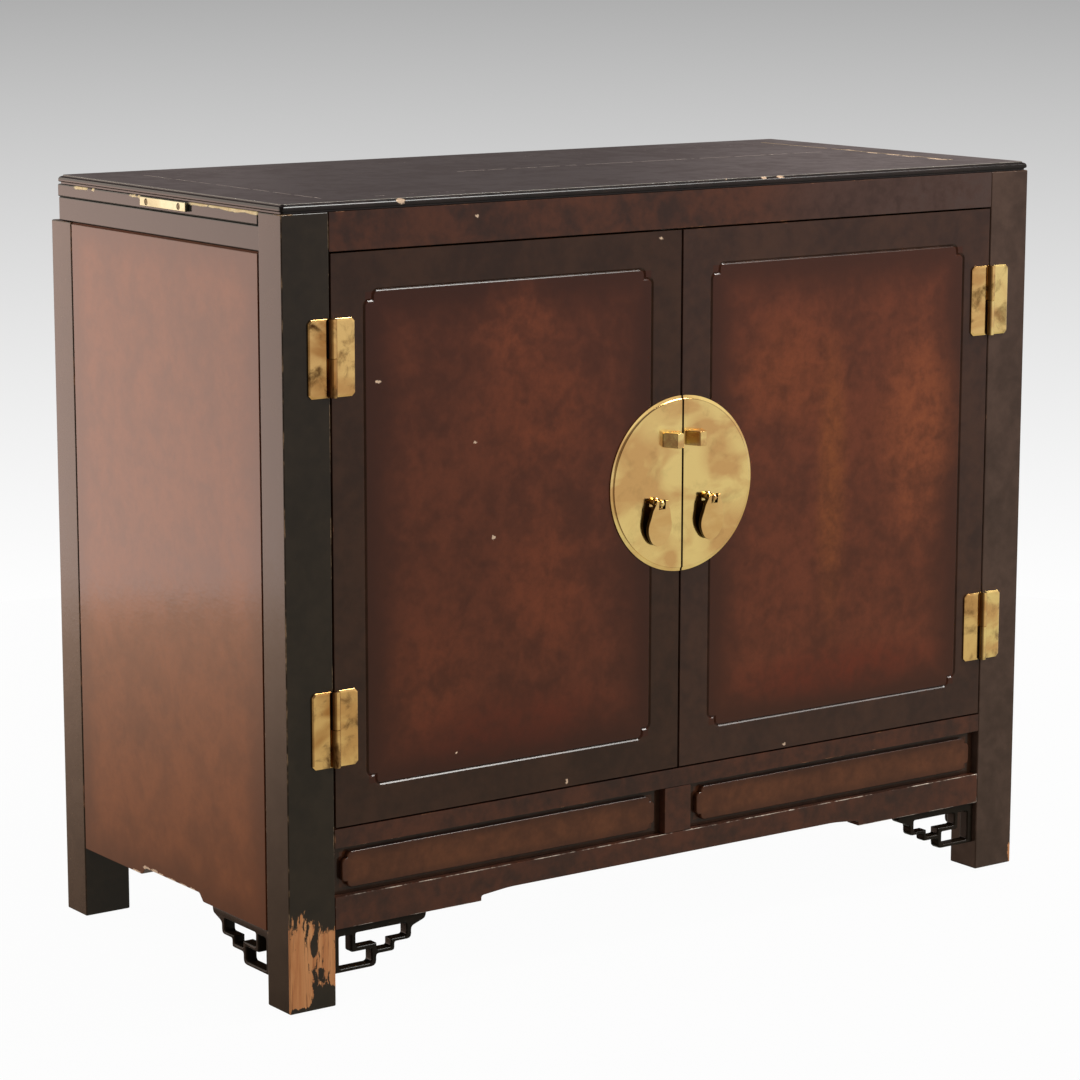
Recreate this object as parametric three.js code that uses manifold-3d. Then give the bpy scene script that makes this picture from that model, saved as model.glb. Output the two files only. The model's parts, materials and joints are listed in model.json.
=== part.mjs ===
// A two-door buffet cabinet with draw leaves, corner frets and brass mounts.
// Millimetres, +Z up, +X to the right as seen from the front. The front of the posts
// lies at y = 0 while the pieces are made, and the last lines centre the cabinet.
import * as THREE from 'three';
import { mergeVertices } from 'three/addons/utils/BufferGeometryUtils.js';
import Module from 'manifold-3d';

const wasm = await Module();
wasm.setup();

// Overall sizes and clearances
const width = 1008;         // over the posts
const depth = 482;          // front of the front posts to the back of the rear posts
const height = 838;         // floor to the top surface
const seat = 0.3;           // gap left between two pieces that rest on or butt each other
const swingGap = 1.8;       // gap between a door and the frame round it
const seamGap = 2.6;        // gap between the two doors
const slideGap = 0.6;       // side clearance of a leaf on its runners
const overrun = 1;          // how far a cutter or a joined piece reaches past a face

// Top
const topThick = 9.5;
const topSetBack = 15;      // how far the rear posts stand out behind it
const topCorner = 4;        // radius of its corners in plan
const topNose = 5.2;        // how far its flat is set back from its nose
const topEdgeShares = [     // [set back as a share of topNose, level as a share of topThick]
  [0.4, 0], [0.4, 0.18], [0.15, 0.24], [0, 0.36], [0, 0.5], [0.05, 0.64], [0.17, 0.78],
  [0.38, 0.9], [0.66, 0.97], [1, 1],
];

// Posts and glides
const postWide = 56;
const postDeep = 44;
const postArris = 0.8;
const glideRadius = 8;
const glideHigh = 3;
const glideSides = 20;

// Side panels and side rails
const sideThick = 18;
const sideFoot = 83;        // underside of a side panel near the posts
const sideArchRise = 8.5;
const sideArchLong = 124;   // length of the raised middle of its underside
const sideArchRun = 8;
const sideReveal = 1.8;     // width of the groove along each post
const sideRevealDeep = 3;
const sideRailThick = 20;
const sideRailInset = 1.5;  // set back of a side rail from the side panel below it
const sideRailArris = 2.6;
const sideRailShort = 1;    // how far a side rail and a leaf stop short of the top's back edge

// Front frame
const frontRailHigh = 40;
const frontThick = 20;
const apronTop = 192;
const apronFoot = 85;       // underside of the apron near the posts
const apronRailHigh = 20.5; // upper rail of the apron
const apronFieldHigh = 51.5;
const apronStileWide = 36;
const apronArchRise = 9.4;
const apronArchHalf = 264;  // half the length of the raised middle of its underside
const apronArchStep = 6;
const apronArchRun = 36;
const apronPanelDeep = 10;  // set back of a sunken field
const cartoucheRise = 6;
const cartoucheMargin = 6.5;
const cartoucheEndMargin = 11;
const cartoucheStep = 6.6;
const cartoucheRound = 5.2;
const cartoucheArris = 1.4;

// Doors
const doorThick = 20;
const doorMargin = 39.2;    // door edge to the middle of its groove
const grooveWide = 3.6;
const grooveFloor = 0.8;
const grooveDeep = 2.4;
const grooveStep = 10.4;
const grooveRound = 6;

// Hinges
const hingeHigh = 80;
const hingeWide = 27.7;     // pin to the outer edge of a leaf
const hingeThick = 2.2;
const hingeClip = 3.6;      // clipped corners of the leaves
const hingeInset = 105;     // door end to the middle of the hinge
const barrelRadius = 4.1;
const barrelGap = 0.4;
const barrelSides = 20;
const pinRadius = 2;
const pinClearance = 0.3;

// Medallion, lugs and drop pulls
const medallionRadius = 96.5;
const medallionThick = 3;
const medallionRim = 1;     // height of its upright rim
const medallionBevel = 4;
const medallionSides = 72;
const medallionZ = 511;
const lugX = 15.5;          // seam to the middle of a lug
const lugRise = 50;         // middle of the medallion to the middle of a lug
const lugBase = 24;
const lugNose = 8.5;
const lugHigh = 16;
const lugReach = 16.4;
const pullX = 36;           // seam to a drop pull
const pullDrop = 17.3;      // middle of the medallion down to the pull's pin
const studCollarRadius = 5;
const studCollarHigh = 2.2;
const studRadius = 2.2;
const studReach = 9.1;      // medallion face to the middle of the ball
const studSides = 16;
const ballRadius = 3.9;
const ballRings = 10;
const pullPinRadius = 0.9;
const pullPinHalf = 8;
const pullPinSides = 12;
const pullLong = 47.6;      // pin to the lowest point of the pull
const pullWide = 31.6;
const pullThick = 5;
const pullBevel = 0.8;
const pullRest = 0.5;       // foot of the hanging pull to the medallion
const earTop = 3.6;
const earOuter = 8.3;
const earGap = 0.5;
const earFoot = 6;          // pin down to the bottom of the gap between the ears
const pullShares = [        // right half of the drop: [share of half the width, share of the length]
  [0.61, 0.063], [0.735, 0.149], [0.835, 0.3], [0.97, 0.462], [1, 0.578], [0.88, 0.75],
  [0.63, 0.9], [0.32, 0.977],
];

// Draw leaves, their runners and brass pulls
const leafThick = 13.8;
const leafStopMargin = 52.7; // middle bearer to the stop strip of a closed leaf
const leafEndWide = 60;     // outer part of a leaf, as deep as the top
const runnerLedge = 25;
const runnerUpright = 16;   // upright of the back runner
const bearerWide = 19;
const stopWide = 20;
const stopHigh = 8;
const stopMargin = 20;
const leafPullLong = 94.6;
const leafPullHigh = 9.6;
const leafPullThick = 4;
const leafPullDown = 0.6;   // leaf's top to the top of its pull
const leafPullForward = 5;  // middle of the top to the middle of the pull
const leafPullScrewX = 33.7;
const screwRadius = 3;
const screwSink = 0.6;
const screwSlot = 0.9;

// Corner frets
const fretLong = 118;
const fretDrop = 49.5;
const fretThick = 14;
const fretFrontInset = 6;
const fretSideInset = 3;
const fretRound = 5;
const fretHoleRound = 2.2;
const fretArris = 1.6;
// Points of the frets' outlines: shares of the length from the post and of the drop, then
// the share of the named radius that rounds the corner.
const fretEdgeShares = [
  [0, 0, 0], [1, 0, 0], [0.985, 0.16, 0.6], [0.835, 0.29, 0.7], [0.835, 0.55, 1.1],
  [0.655, 0.55, 0.5], [0.655, 0.74, 0.7], [0.462, 0.74, 0.6], [0.462, 1, 1.3], [0, 1, 0],
];
const fretUpperShares = [
  [0.245, 0.19, 1], [0.78, 0.19, 1], [0.78, 0.47, 1.2], [0.615, 0.47, 0.5],
  [0.615, 0.64, 1], [0.465, 0.64, 0.7], [0.465, 0.49, 0.5], [0.245, 0.49, 1],
];
const fretLowerShares = [
  [0.07, 0.21, 1], [0.195, 0.21, 0.5], [0.195, 0.6, 1.2], [0.408, 0.6, 0.8],
  [0.408, 0.91, 1.6], [0.07, 0.91, 0.8],
];

// Inside
const boardThick = 18;
const shelfZ = 473;         // top of the shelf
const shelfSetBack = 40;    // doors to the shelf's front edge
const cleatHigh = 18;
const cleatWide = 18;
const cleatMargin = 12;
const backThick = 6;
const backSetBack = 6;      // back of the rear posts to the back panel
const backRailThick = 20;
const backFoot = 94;
const catchHalf = 24;
const catchHigh = 18;
const catchDeep = 22;
const strikeThick = 1.5;
const strikeHigh = 14;
const strikeWide = 18;
const strikeInset = 3;

// Levels and faces worked out from the sizes above
const topUnder = height - topThick;
const railTop = topUnder - seat;
const deckZ = railTop - frontRailHigh;       // underside of the front rail and the runners
const carcaseTop = deckZ - seat;             // top of the rear posts and side panels
const leafTop = topUnder - seat;
const leafUnder = leafTop - leafThick;
const ledgeTop = leafUnder - seat;           // top of the side rails and runner ledges
const legFoot = glideHigh + seat;
const halfWidth = width / 2;
const topDepth = depth - topSetBack;
const postInner = halfWidth - postWide;      // inner side of the posts
const betweenPosts = postInner - seat;
const rearPostFront = depth - postDeep;
const sideInner = halfWidth - sideThick;
const leafBack = topDepth - sideRailShort;
const railInner = halfWidth - sideRailInset - sideRailThick;
const stopInner = bearerWide / 2 + leafStopMargin;
const doorTop = deckZ - swingGap;
const doorFoot = apronTop + swingGap;
const doorOuter = postInner - swingGap;
const doorInner = seamGap / 2;
const hingeX = postInner - swingGap / 2;
const hingeY = -seat - barrelRadius;
const brassFace = -seat - medallionThick;
const pullZ = medallionZ - pullDrop;
const pullY = brassFace - studReach;
const pullLean = Math.asin((studReach - pullThick / 2 - pullRest) / pullLong);
const lugFront = brassFace - seat - lugReach;
const backFace = depth - backSetBack - backThick;

// Finishes
const finish = (color, roughness, metalness) =>
  () => new THREE.MeshStandardMaterial({ color, roughness, metalness });
const darkLacquer = finish(0x2b1d18, 0.35, 0);
const redLacquer = finish(0x5c2a1b, 0.3, 0);
const blackLacquer = finish(0x1c1614, 0.2, 0);
const brass = finish(0xc9a253, 0.3, 1);
const plainWood = finish(0x8a6642, 0.7, 0);
const steel = finish(0x8f8f8f, 0.4, 1);

const front = new THREE.Matrix4().makeBasis(
  new THREE.Vector3(1, 0, 0), new THREE.Vector3(0, 0, 1), new THREE.Vector3(0, -1, 0));
const sideways = new THREE.Matrix4().makeBasis(
  new THREE.Vector3(0, 1, 0), new THREE.Vector3(0, 0, 1), new THREE.Vector3(1, 0, 0));

const cabinet = new THREE.Group();
function add(name, geometry, material) {
  const mesh = new THREE.Mesh(geometry, material());
  mesh.name = name;
  cabinet.add(mesh);
}

// A closed geometry as a manifold-3d solid, and back.
function solid(geometry) {
  const bare = geometry.clone();
  bare.deleteAttribute('normal');
  bare.deleteAttribute('uv');
  const merged = mergeVertices(bare);
  return new wasm.Manifold(new wasm.Mesh({
    numProp: 3,
    vertProperties: new Float32Array(merged.attributes.position.array),
    triVerts: new Uint32Array(merged.index.array),
  }));
}

function shapeOf(manifold) {
  const mesh = manifold.getMesh();
  const geometry = new THREE.BufferGeometry();
  geometry.setAttribute('position', new THREE.BufferAttribute(mesh.vertProperties, 3));
  geometry.setIndex(new THREE.BufferAttribute(mesh.triVerts, 1));
  geometry.computeVertexNormals();
  return geometry;
}

const join = (...parts) => shapeOf(parts.map(solid).reduce((whole, part) => whole.add(part)));
const cut = (body, ...tools) =>
  shapeOf(tools.map(solid).reduce((whole, tool) => whole.subtract(tool), solid(body)));

// A board between two corners.
function board(x0, x1, y0, y1, z0, z1) {
  const box = new THREE.BoxGeometry(x1 - x0, y1 - y0, z1 - z0);
  return box.translate((x0 + x1) / 2, (y0 + y1) / 2, (z0 + z1) / 2);
}

// A closed outline through points [x, y, radius], each corner rounded by its own radius.
function outline(points) {
  const path = new THREE.Shape();
  points.forEach(([x, y, radius = 0], i) => {
    const before = points[(i + points.length - 1) % points.length];
    const after = points[(i + 1) % points.length];
    const enter = new THREE.Vector2(before[0] - x, before[1] - y).setLength(radius);
    const leave = new THREE.Vector2(after[0] - x, after[1] - y).setLength(radius);
    if (i === 0) path.moveTo(x + enter.x, y + enter.y);
    else path.lineTo(x + enter.x, y + enter.y);
    if (radius > 0) path.quadraticCurveTo(x, y, x + leave.x, y + leave.y);
  });
  path.closePath();
  return path;
}

// A shape given a thickness, with its edges eased by an arris where one is named. It grows
// upwards, from the front, or sideways.
const thicken = (shape, thick, arris) => new THREE.ExtrudeGeometry(shape, {
  depth: thick - 2 * arris, bevelEnabled: arris > 0, bevelThickness: arris, bevelSize: arris,
  bevelOffset: -arris, bevelSegments: 2, curveSegments: 4,
}).translate(0, 0, arris);
const raise = (shape, z0, z1, arris = 0) =>
  thicken(shape, z1 - z0, arris).translate(0, 0, z0);
const frontBoard = (shape, y0, y1, arris = 0) =>
  thicken(shape, y1 - y0, arris).applyMatrix4(front).translate(0, y1, 0);
const sideBoard = (shape, x0, x1, arris = 0) =>
  thicken(shape, x1 - x0, arris).applyMatrix4(sideways).translate(x0, 0, 0);

// A closed skin over loops of points that all have the same count. The two ends are capped,
// or met end to end where the loops go round a ring.
function skin(loops, ring = false) {
  const count = loops[0].length;
  const index = [];
  const bands = ring ? loops.length : loops.length - 1;
  for (let band = 0; band < bands; band += 1) {
    const low = band * count;
    const high = ((band + 1) % loops.length) * count;
    for (let i = 0; i < count; i += 1) {
      const next = (i + 1) % count;
      index.push(low + i, low + next, high + next, low + i, high + next, high + i);
    }
  }
  if (!ring) {
    const last = (loops.length - 1) * count;
    for (let i = 1; i < count - 1; i += 1) {
      index.push(0, i + 1, i, last, last + i, last + i + 1);
    }
  }
  const geometry = new THREE.BufferGeometry();
  geometry.setAttribute('position', new THREE.Float32BufferAttribute(loops.flat(2), 3));
  geometry.setIndex(index);
  geometry.computeVertexNormals();
  return geometry;
}

// Points round a rectangle whose corners step in and swell out again: two quarter rounds
// with a square notch between them. The rectangle can grow or shrink without changing the step.
function steppedLoop(x0, x1, z0, z1, step, round, grow = 0, arcPoints = 5) {
  const radius = round + grow;
  const corner = [];
  for (const [dx, dz] of [[0, step], [step, 0]]) {
    for (let i = 0; i < arcPoints; i += 1) {
      const angle = (i / (arcPoints - 1)) * Math.PI / 2;
      corner.push([
        -dx - radius + radius * Math.cos(angle), -dz - radius + radius * Math.sin(angle)]);
    }
    if (dx === 0) corner.push([-step, -step]);
  }
  const turns = [[1, 1], [-1, 1], [-1, -1], [1, -1]];
  return turns.flatMap(([sx, sz], turn) => corner.map(([a, b]) => {
    const [u, v] = [[a, b], [-b, a], [-a, -b], [b, -a]][turn];
    const cx = sx > 0 ? x1 + grow : x0 - grow;
    const cz = sz > 0 ? z1 + grow : z0 - grow;
    return [cx + u, cz + v];
  }));
}

// The top: a slab whose rounded edge stands out over a quirk.
function top() {
  const arcPoints = 4;
  const loops = topEdgeShares.map(([setBackShare, levelShare]) => {
    const inset = setBackShare * topNose;
    const radius = topCorner;
    const corners = [[1, 1, 0], [-1, 1, 1], [-1, -1, 2], [1, -1, 3]];
    return corners.flatMap(([sx, sy, quarter]) => Array.from({ length: arcPoints }, (_, i) => {
      const angle = (quarter + i / (arcPoints - 1)) * Math.PI / 2;
      const cx = sx * (halfWidth - inset - radius);
      const cy = sy > 0 ? topDepth - inset - radius : inset + radius;
      return [cx + radius * Math.cos(angle), cy + radius * Math.sin(angle),
        topUnder + levelShare * topThick];
    }));
  });
  return skin(loops);
}

// A post between two levels, with eased corners.
function post(x0, y0, z1) {
  const shape = outline([
    [x0, y0, postArris], [x0 + postWide, y0, postArris],
    [x0 + postWide, y0 + postDeep, postArris], [x0, y0 + postDeep, postArris],
  ]);
  return raise(shape, legFoot, z1);
}

// A side panel: its underside is raised in the middle, and a reveal runs along each post.
function sidePanel(side) {
  const middle = depth / 2;
  const arch = sideArchLong / 2;
  const face = (y0, y1) => outline([
    [y0, sideFoot], [middle - arch - sideArchRun / 2, sideFoot, sideArchRun / 4],
    [middle - arch + sideArchRun / 2, sideFoot + sideArchRise, sideArchRun / 4],
    [middle + arch - sideArchRun / 2, sideFoot + sideArchRise, sideArchRun / 4],
    [middle + arch + sideArchRun / 2, sideFoot, sideArchRun / 4], [y1, sideFoot],
    [y1, carcaseTop], [y0, carcaseTop],
  ]);
  const y0 = postDeep + seat;
  const y1 = rearPostFront - seat;
  const outer = halfWidth;
  const core = sideBoard(face(y0, y1), sideInner, outer - sideRevealDeep);
  const show = sideBoard(
    face(y0 + sideReveal, y1 - sideReveal), outer - sideRevealDeep - overrun, outer);
  return mirrored(join(core, show), side);
}

// The same piece on the left or on the right of the cabinet.
function mirrored(geometry, side) {
  if (side > 0) return geometry;
  const copy = geometry.index ? geometry.toNonIndexed() : geometry.clone();
  copy.scale(-1, 1, 1);
  const place = copy.attributes.position;
  for (let i = 0; i < place.count; i += 3) {
    const [x, y, z] = [place.getX(i), place.getY(i), place.getZ(i)];
    place.setXYZ(i, place.getX(i + 1), place.getY(i + 1), place.getZ(i + 1));
    place.setXYZ(i + 1, x, y, z);
  }
  copy.computeVertexNormals();
  return copy;
}

// A side rail: a bar above the side panel with an eased lower edge.
function sideRail() {
  const outer = halfWidth - sideRailInset;
  const section = outline([
    [railInner, deckZ], [outer - sideRailArris, deckZ], [outer, deckZ + sideRailArris],
    [outer, ledgeTop], [railInner, ledgeTop],
  ]);
  return frontBoard(section, postDeep + seat, leafBack);
}

// A draw leaf: the outer part is as deep as the top, and the rest runs inside the back runner.
function leaf() {
  const y0 = postDeep + slideGap;
  const outer = halfWidth;
  const shoulder = outer - leafEndWide;
  const inner = bearerWide / 2 + slideGap;
  const y1 = leafBack - runnerUpright - slideGap;
  const plan = outline([
    [inner, y0], [outer, y0], [outer, leafBack], [shoulder, leafBack], [shoulder, y1],
    [inner, y1],
  ]);
  return raise(plan, leafUnder, leafTop);
}

// The strip under a leaf that meets the side rail when the leaf is drawn right out.
function leafStop() {
  const y0 = postDeep + runnerLedge + stopMargin;
  const y1 = leafBack - runnerUpright - runnerLedge - stopMargin;
  return board(stopInner, stopInner + stopWide, y0, y1, ledgeTop - stopHigh, ledgeTop);
}

// The brass finger bar on a leaf's edge, with two slotted screw heads sunk in it.
function leafPull() {
  const x0 = halfWidth + seat;
  const z1 = leafTop - leafPullDown;
  const middle = topDepth / 2 - leafPullForward;
  const bar = board(x0, x0 + leafPullThick, middle - leafPullLong / 2,
    middle + leafPullLong / 2, z1 - leafPullHigh, z1);
  const slots = [-1, 1].map((end) => {
    const y = middle + end * leafPullScrewX;
    const face = x0 + leafPullThick;
    return board(face - screwSink, face + overrun, y - screwSlot / 2, y + screwSlot / 2,
      z1 - leafPullHigh / 2 - screwRadius, z1 - leafPullHigh / 2 + screwRadius);
  });
  return cut(bar, ...slots);
}

// The runners that carry the leaves' front and back edges.
function frontRunner() {
  const y0 = frontThick + seat;
  const section = outline([
    [y0, deckZ], [postDeep + runnerLedge, deckZ], [postDeep + runnerLedge, ledgeTop],
    [postDeep, ledgeTop], [postDeep, railTop], [y0, railTop],
  ]);
  return sideBoard(section, -betweenPosts, betweenPosts);
}

function backRunner() {
  const ends = railInner - seat;
  const y0 = leafBack - runnerUpright;
  const ledge = board(-ends, ends, y0 - runnerLedge, leafBack, deckZ, ledgeTop);
  const reach = halfWidth - leafEndWide - slideGap;
  const upright = board(-reach, reach, y0, leafBack, ledgeTop - overrun, railTop);
  return join(ledge, upright);
}

// The apron: two rails and a stile round two sunken panels.
function apronFootRail() {
  const arch = apronArchHalf;
  const foot = (side) => [
    [side * betweenPosts, apronFoot], [side * arch, apronFoot],
    [side * arch, apronFoot + apronArchStep, apronArchStep / 2],
    [side * (arch - apronArchRun), apronFoot + apronArchRise, apronArchRun / 4],
  ];
  const z1 = apronTop - apronRailHigh - apronFieldHigh - seat;
  const shape = outline([
    ...foot(-1), ...foot(1).reverse(), [betweenPosts, z1], [-betweenPosts, z1],
  ]);
  return frontBoard(shape, 0, frontThick);
}

function apronPanel() {
  const z0 = apronTop - apronRailHigh - apronFieldHigh;
  const z1 = apronTop - apronRailHigh;
  const x0 = apronStileWide / 2 + seat;
  const x1 = betweenPosts;
  const back = board(x0, x1, apronPanelDeep, frontThick, z0, z1 - seat);
  const edge = (grow, y) => steppedLoop(
    x0 + cartoucheEndMargin, x1 - cartoucheEndMargin, z0 + cartoucheMargin,
    z1 - cartoucheMargin, cartoucheStep, cartoucheRound, grow).map(([x, z]) => [x, y, z]);
  const face = apronPanelDeep - cartoucheRise;
  const cartouche = cartoucheBlock([
    edge(0, apronPanelDeep + overrun), edge(0, face + cartoucheArris),
    edge(-cartoucheArris, face),
  ]);
  return join(back, cartouche);
}

// A block over stepped loops, with its two ends closed by triangles that follow the outline.
function cartoucheBlock(loops) {
  const sides = skin(loops, true);
  const count = loops[0].length;
  const flat = loops[0].map(([x, , z]) => new THREE.Vector2(x, z));
  const faces = THREE.ShapeUtils.triangulateShape(flat, []);
  const index = Array.from(sides.index.array).slice(0, (loops.length - 1) * count * 6);
  const last = (loops.length - 1) * count;
  for (const [a, b, c] of faces) index.push(a, c, b, last + a, last + b, last + c);
  sides.setIndex(index);
  return sides;
}

// A door with a V groove that steps in at its corners.
function door() {
  const slab = board(doorInner, doorOuter, 0, doorThick, doorFoot, doorTop);
  const loop = (grow, y) => steppedLoop(
    doorInner + doorMargin, doorOuter - doorMargin, doorFoot + doorMargin,
    doorTop - doorMargin, grooveStep, grooveRound, grow).map(([x, z]) => [x, y, z]);
  const slope = (grooveWide - grooveFloor) / 2 / grooveDeep;
  const mouth = grooveWide / 2 + slope * overrun;
  const groove = skin([
    loop(-mouth, -overrun), loop(-grooveFloor / 2, grooveDeep),
    loop(grooveFloor / 2, grooveDeep), loop(mouth, -overrun),
  ], true);
  return cut(slab, groove);
}

// One hinge leaf flat on the wood: a plate with clipped outer corners that reaches the pin on
// the half of its height where its own knuckle is. reach is -1 towards the post, 1 towards the
// door, as on the right-hand side of the cabinet.
function hingePlate(reach, ownsUpper) {
  const own = hingeX;
  const clear = hingeX + reach * (barrelRadius + barrelGap);
  const outer = hingeX + reach * hingeWide;
  const low = -hingeHigh / 2;
  const high = hingeHigh / 2;
  const split = ownsUpper ? barrelGap / 2 : -barrelGap / 2;
  const clipX = outer - reach * hingeClip;
  const [lowX, highX] = ownsUpper ? [clear, own] : [own, clear];
  const shape = outline([
    [lowX, low], [clipX, low], [outer, low + hingeClip], [outer, high - hingeClip],
    [clipX, high], [highX, high], [highX, split], [lowX, split],
  ]);
  return frontBoard(shape, -seat - hingeThick, -seat);
}

function rod(radius, z0, z1) {
  return new THREE.CylinderGeometry(radius, radius, z1 - z0, barrelSides)
    .rotateX(Math.PI / 2).translate(hingeX, hingeY, (z0 + z1) / 2);
}

function hingePostLeaf() {
  const knuckle = rod(barrelRadius, -hingeHigh / 2, -barrelGap / 2);
  const pin = rod(pinRadius, -hingeHigh / 2 + overrun, hingeHigh / 2);
  return join(hingePlate(1, false), knuckle, pin);
}

function hingeDoorLeaf() {
  const knuckle = rod(barrelRadius, barrelGap / 2, hingeHigh / 2);
  const bore = rod(pinRadius + pinClearance, -overrun, hingeHigh / 2 + overrun);
  return cut(join(hingePlate(-1, true), knuckle), bore);
}

// Half of the round medallion, cut along the seam.
function medallionHalf() {
  const profile = [
    [0, 0], [medallionRadius, 0], [medallionRadius, medallionRim],
    [medallionRadius - medallionBevel, medallionThick], [0, medallionThick],
  ].map(([r, h]) => new THREE.Vector2(r, h));
  const disc = new THREE.LatheGeometry(profile, medallionSides)
    .rotateX(Math.PI).translate(0, -seat, medallionZ);
  const reach = medallionRadius + overrun;
  const other = board(-reach, doorInner, -seat - medallionThick - overrun, overrun,
    medallionZ - reach, medallionZ + reach);
  return cut(disc, other);
}

// A wedge-shaped lug beside the seam.
function lug() {
  const y1 = brassFace - seat;
  const shape = outline([
    [lugX - lugBase / 2, y1], [lugX - lugNose / 2, lugFront], [lugX + lugNose / 2, lugFront],
    [lugX + lugBase / 2, y1],
  ]);
  const z0 = medallionZ + lugRise - lugHigh / 2;
  return raise(shape, z0, z0 + lugHigh);
}

// The stud that a drop pull hangs from: a collar, a stem, a ball and a cross pin.
function pullStud() {
  const stalk = (radius, y0, y1) => new THREE.CylinderGeometry(
    radius, radius, y1 - y0, studSides).translate(pullX, (y0 + y1) / 2, pullZ);
  const y1 = brassFace - seat;
  const ball = new THREE.SphereGeometry(ballRadius, studSides, ballRings)
    .translate(pullX, pullY, pullZ);
  const pin = new THREE.CylinderGeometry(
    pullPinRadius, pullPinRadius, 2 * pullPinHalf, pullPinSides)
    .rotateZ(Math.PI / 2).translate(pullX, pullY, pullZ);
  return join(
    stalk(studCollarRadius, y1 - studCollarHigh, y1), stalk(studRadius, pullY, y1), ball, pin);
}

// A drop pull: a flat drop with two ears that hang on the stud's pin. It leans back until its
// foot nearly rests on the medallion.
function dropPull() {
  const half = pullWide / 2 - pullBevel;
  const long = pullLong - pullBevel;
  const gap = ballRadius + earGap + pullBevel;
  const gapFoot = -earFoot - pullBevel;
  const earSide = earOuter - pullBevel;
  const earHead = earTop - pullBevel;
  const shape = new THREE.Shape();
  shape.moveTo(gap, gapFoot);
  shape.lineTo(gap, earHead);
  shape.lineTo(earSide, earHead);
  shape.lineTo(earSide, 0);
  const right = pullShares.map(([x, z]) => new THREE.Vector2(half * x, -long * z));
  const left = right.map((point) => new THREE.Vector2(-point.x, point.y)).reverse();
  shape.splineThru([...right, new THREE.Vector2(0, -long), ...left]);
  shape.lineTo(-earSide, 0);
  shape.lineTo(-earSide, earHead);
  shape.lineTo(-gap, earHead);
  shape.lineTo(-gap, gapFoot);
  shape.closePath();
  const drop = new THREE.ExtrudeGeometry(shape, {
    depth: pullThick - 2 * pullBevel, bevelThickness: pullBevel, bevelSize: pullBevel,
    bevelSegments: 2, curveSegments: 3,
  }).applyMatrix4(front).translate(0, pullThick / 2 - pullBevel, 0);
  const boreRadius = pullPinRadius + pinClearance;
  const bore = new THREE.CylinderGeometry(boreRadius, boreRadius, pullWide, pullPinSides)
    .rotateZ(Math.PI / 2);
  return cut(drop, bore).rotateX(pullLean).translate(pullX, pullY, pullZ);
}

// A fret between two depths, made by frontBoard or by sideBoard. It starts at a post, runs in
// the given direction and hangs from the level z1.
function fret(makeBoard, start, direction, z1, near, far) {
  const trace = (shares, round) => outline(shares.map(([along, down, radiusShare]) => [
    start + direction * along * fretLong, z1 - down * fretDrop, radiusShare * round,
  ]));
  const body = makeBoard(trace(fretEdgeShares, fretRound), near, far, fretArris);
  const holes = [fretUpperShares, fretLowerShares].map((shares) =>
    makeBoard(trace(shares, fretHoleRound), near - overrun, far + overrun));
  return cut(body, ...holes);
}

// The bottom board, notched round the four posts.
function bottomBoard() {
  const ends = sideInner - seat;
  const y0 = frontThick + seat;
  const y1 = backFace - seat;
  const notchFront = postDeep + seat;
  const notchBack = rearPostFront - seat;
  const plan = outline([
    [-betweenPosts, y0], [betweenPosts, y0], [betweenPosts, notchFront], [ends, notchFront],
    [ends, notchBack], [betweenPosts, notchBack], [betweenPosts, y1], [-betweenPosts, y1],
    [-betweenPosts, notchBack], [-ends, notchBack], [-ends, notchFront],
    [-betweenPosts, notchFront],
  ]);
  return raise(plan, apronTop - boardThick, apronTop);
}

// Pieces that stand once on the middle line
add('top', top(), blackLacquer);
add('front_rail', board(-betweenPosts, betweenPosts, 0, frontThick, deckZ, railTop), darkLacquer);
add('front_leaf_runner', frontRunner(), plainWood);
add('back_leaf_runner', backRunner(), plainWood);
add('top_bearer', board(-bearerWide / 2, bearerWide / 2, postDeep + runnerLedge + seat,
  leafBack - runnerUpright - runnerLedge - seat, deckZ, railTop), plainWood);
add('apron_top_rail', board(-betweenPosts, betweenPosts, 0, frontThick,
  apronTop - apronRailHigh, apronTop), darkLacquer);
add('apron_foot_rail', apronFootRail(), darkLacquer);
add('apron_stile', board(-apronStileWide / 2, apronStileWide / 2, 0, frontThick,
  apronTop - apronRailHigh - apronFieldHigh, apronTop - apronRailHigh - seat), darkLacquer);
add('bottom_board', bottomBoard(), plainWood);
add('back_panel', board(-betweenPosts, betweenPosts, backFace, backFace + backThick,
  backFoot, carcaseTop), plainWood);
add('back_foot_rail', board(-betweenPosts, betweenPosts, backFace - seat - backRailThick,
  backFace - seat, backFoot, apronTop - boardThick - seat), plainWood);
const shelfFront = doorThick + shelfSetBack;
const shelfBack = rearPostFront - seat;
add('shelf', board(-sideInner + seat, sideInner - seat, shelfFront, shelfBack,
  shelfZ - boardThick, shelfZ), plainWood);
const catchFace = doorThick + seat + strikeThick + seat;
add('door_catch', board(-catchHalf, catchHalf, catchFace, catchFace + catchDeep,
  deckZ - seat - catchHigh, deckZ - seat), steel);

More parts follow.
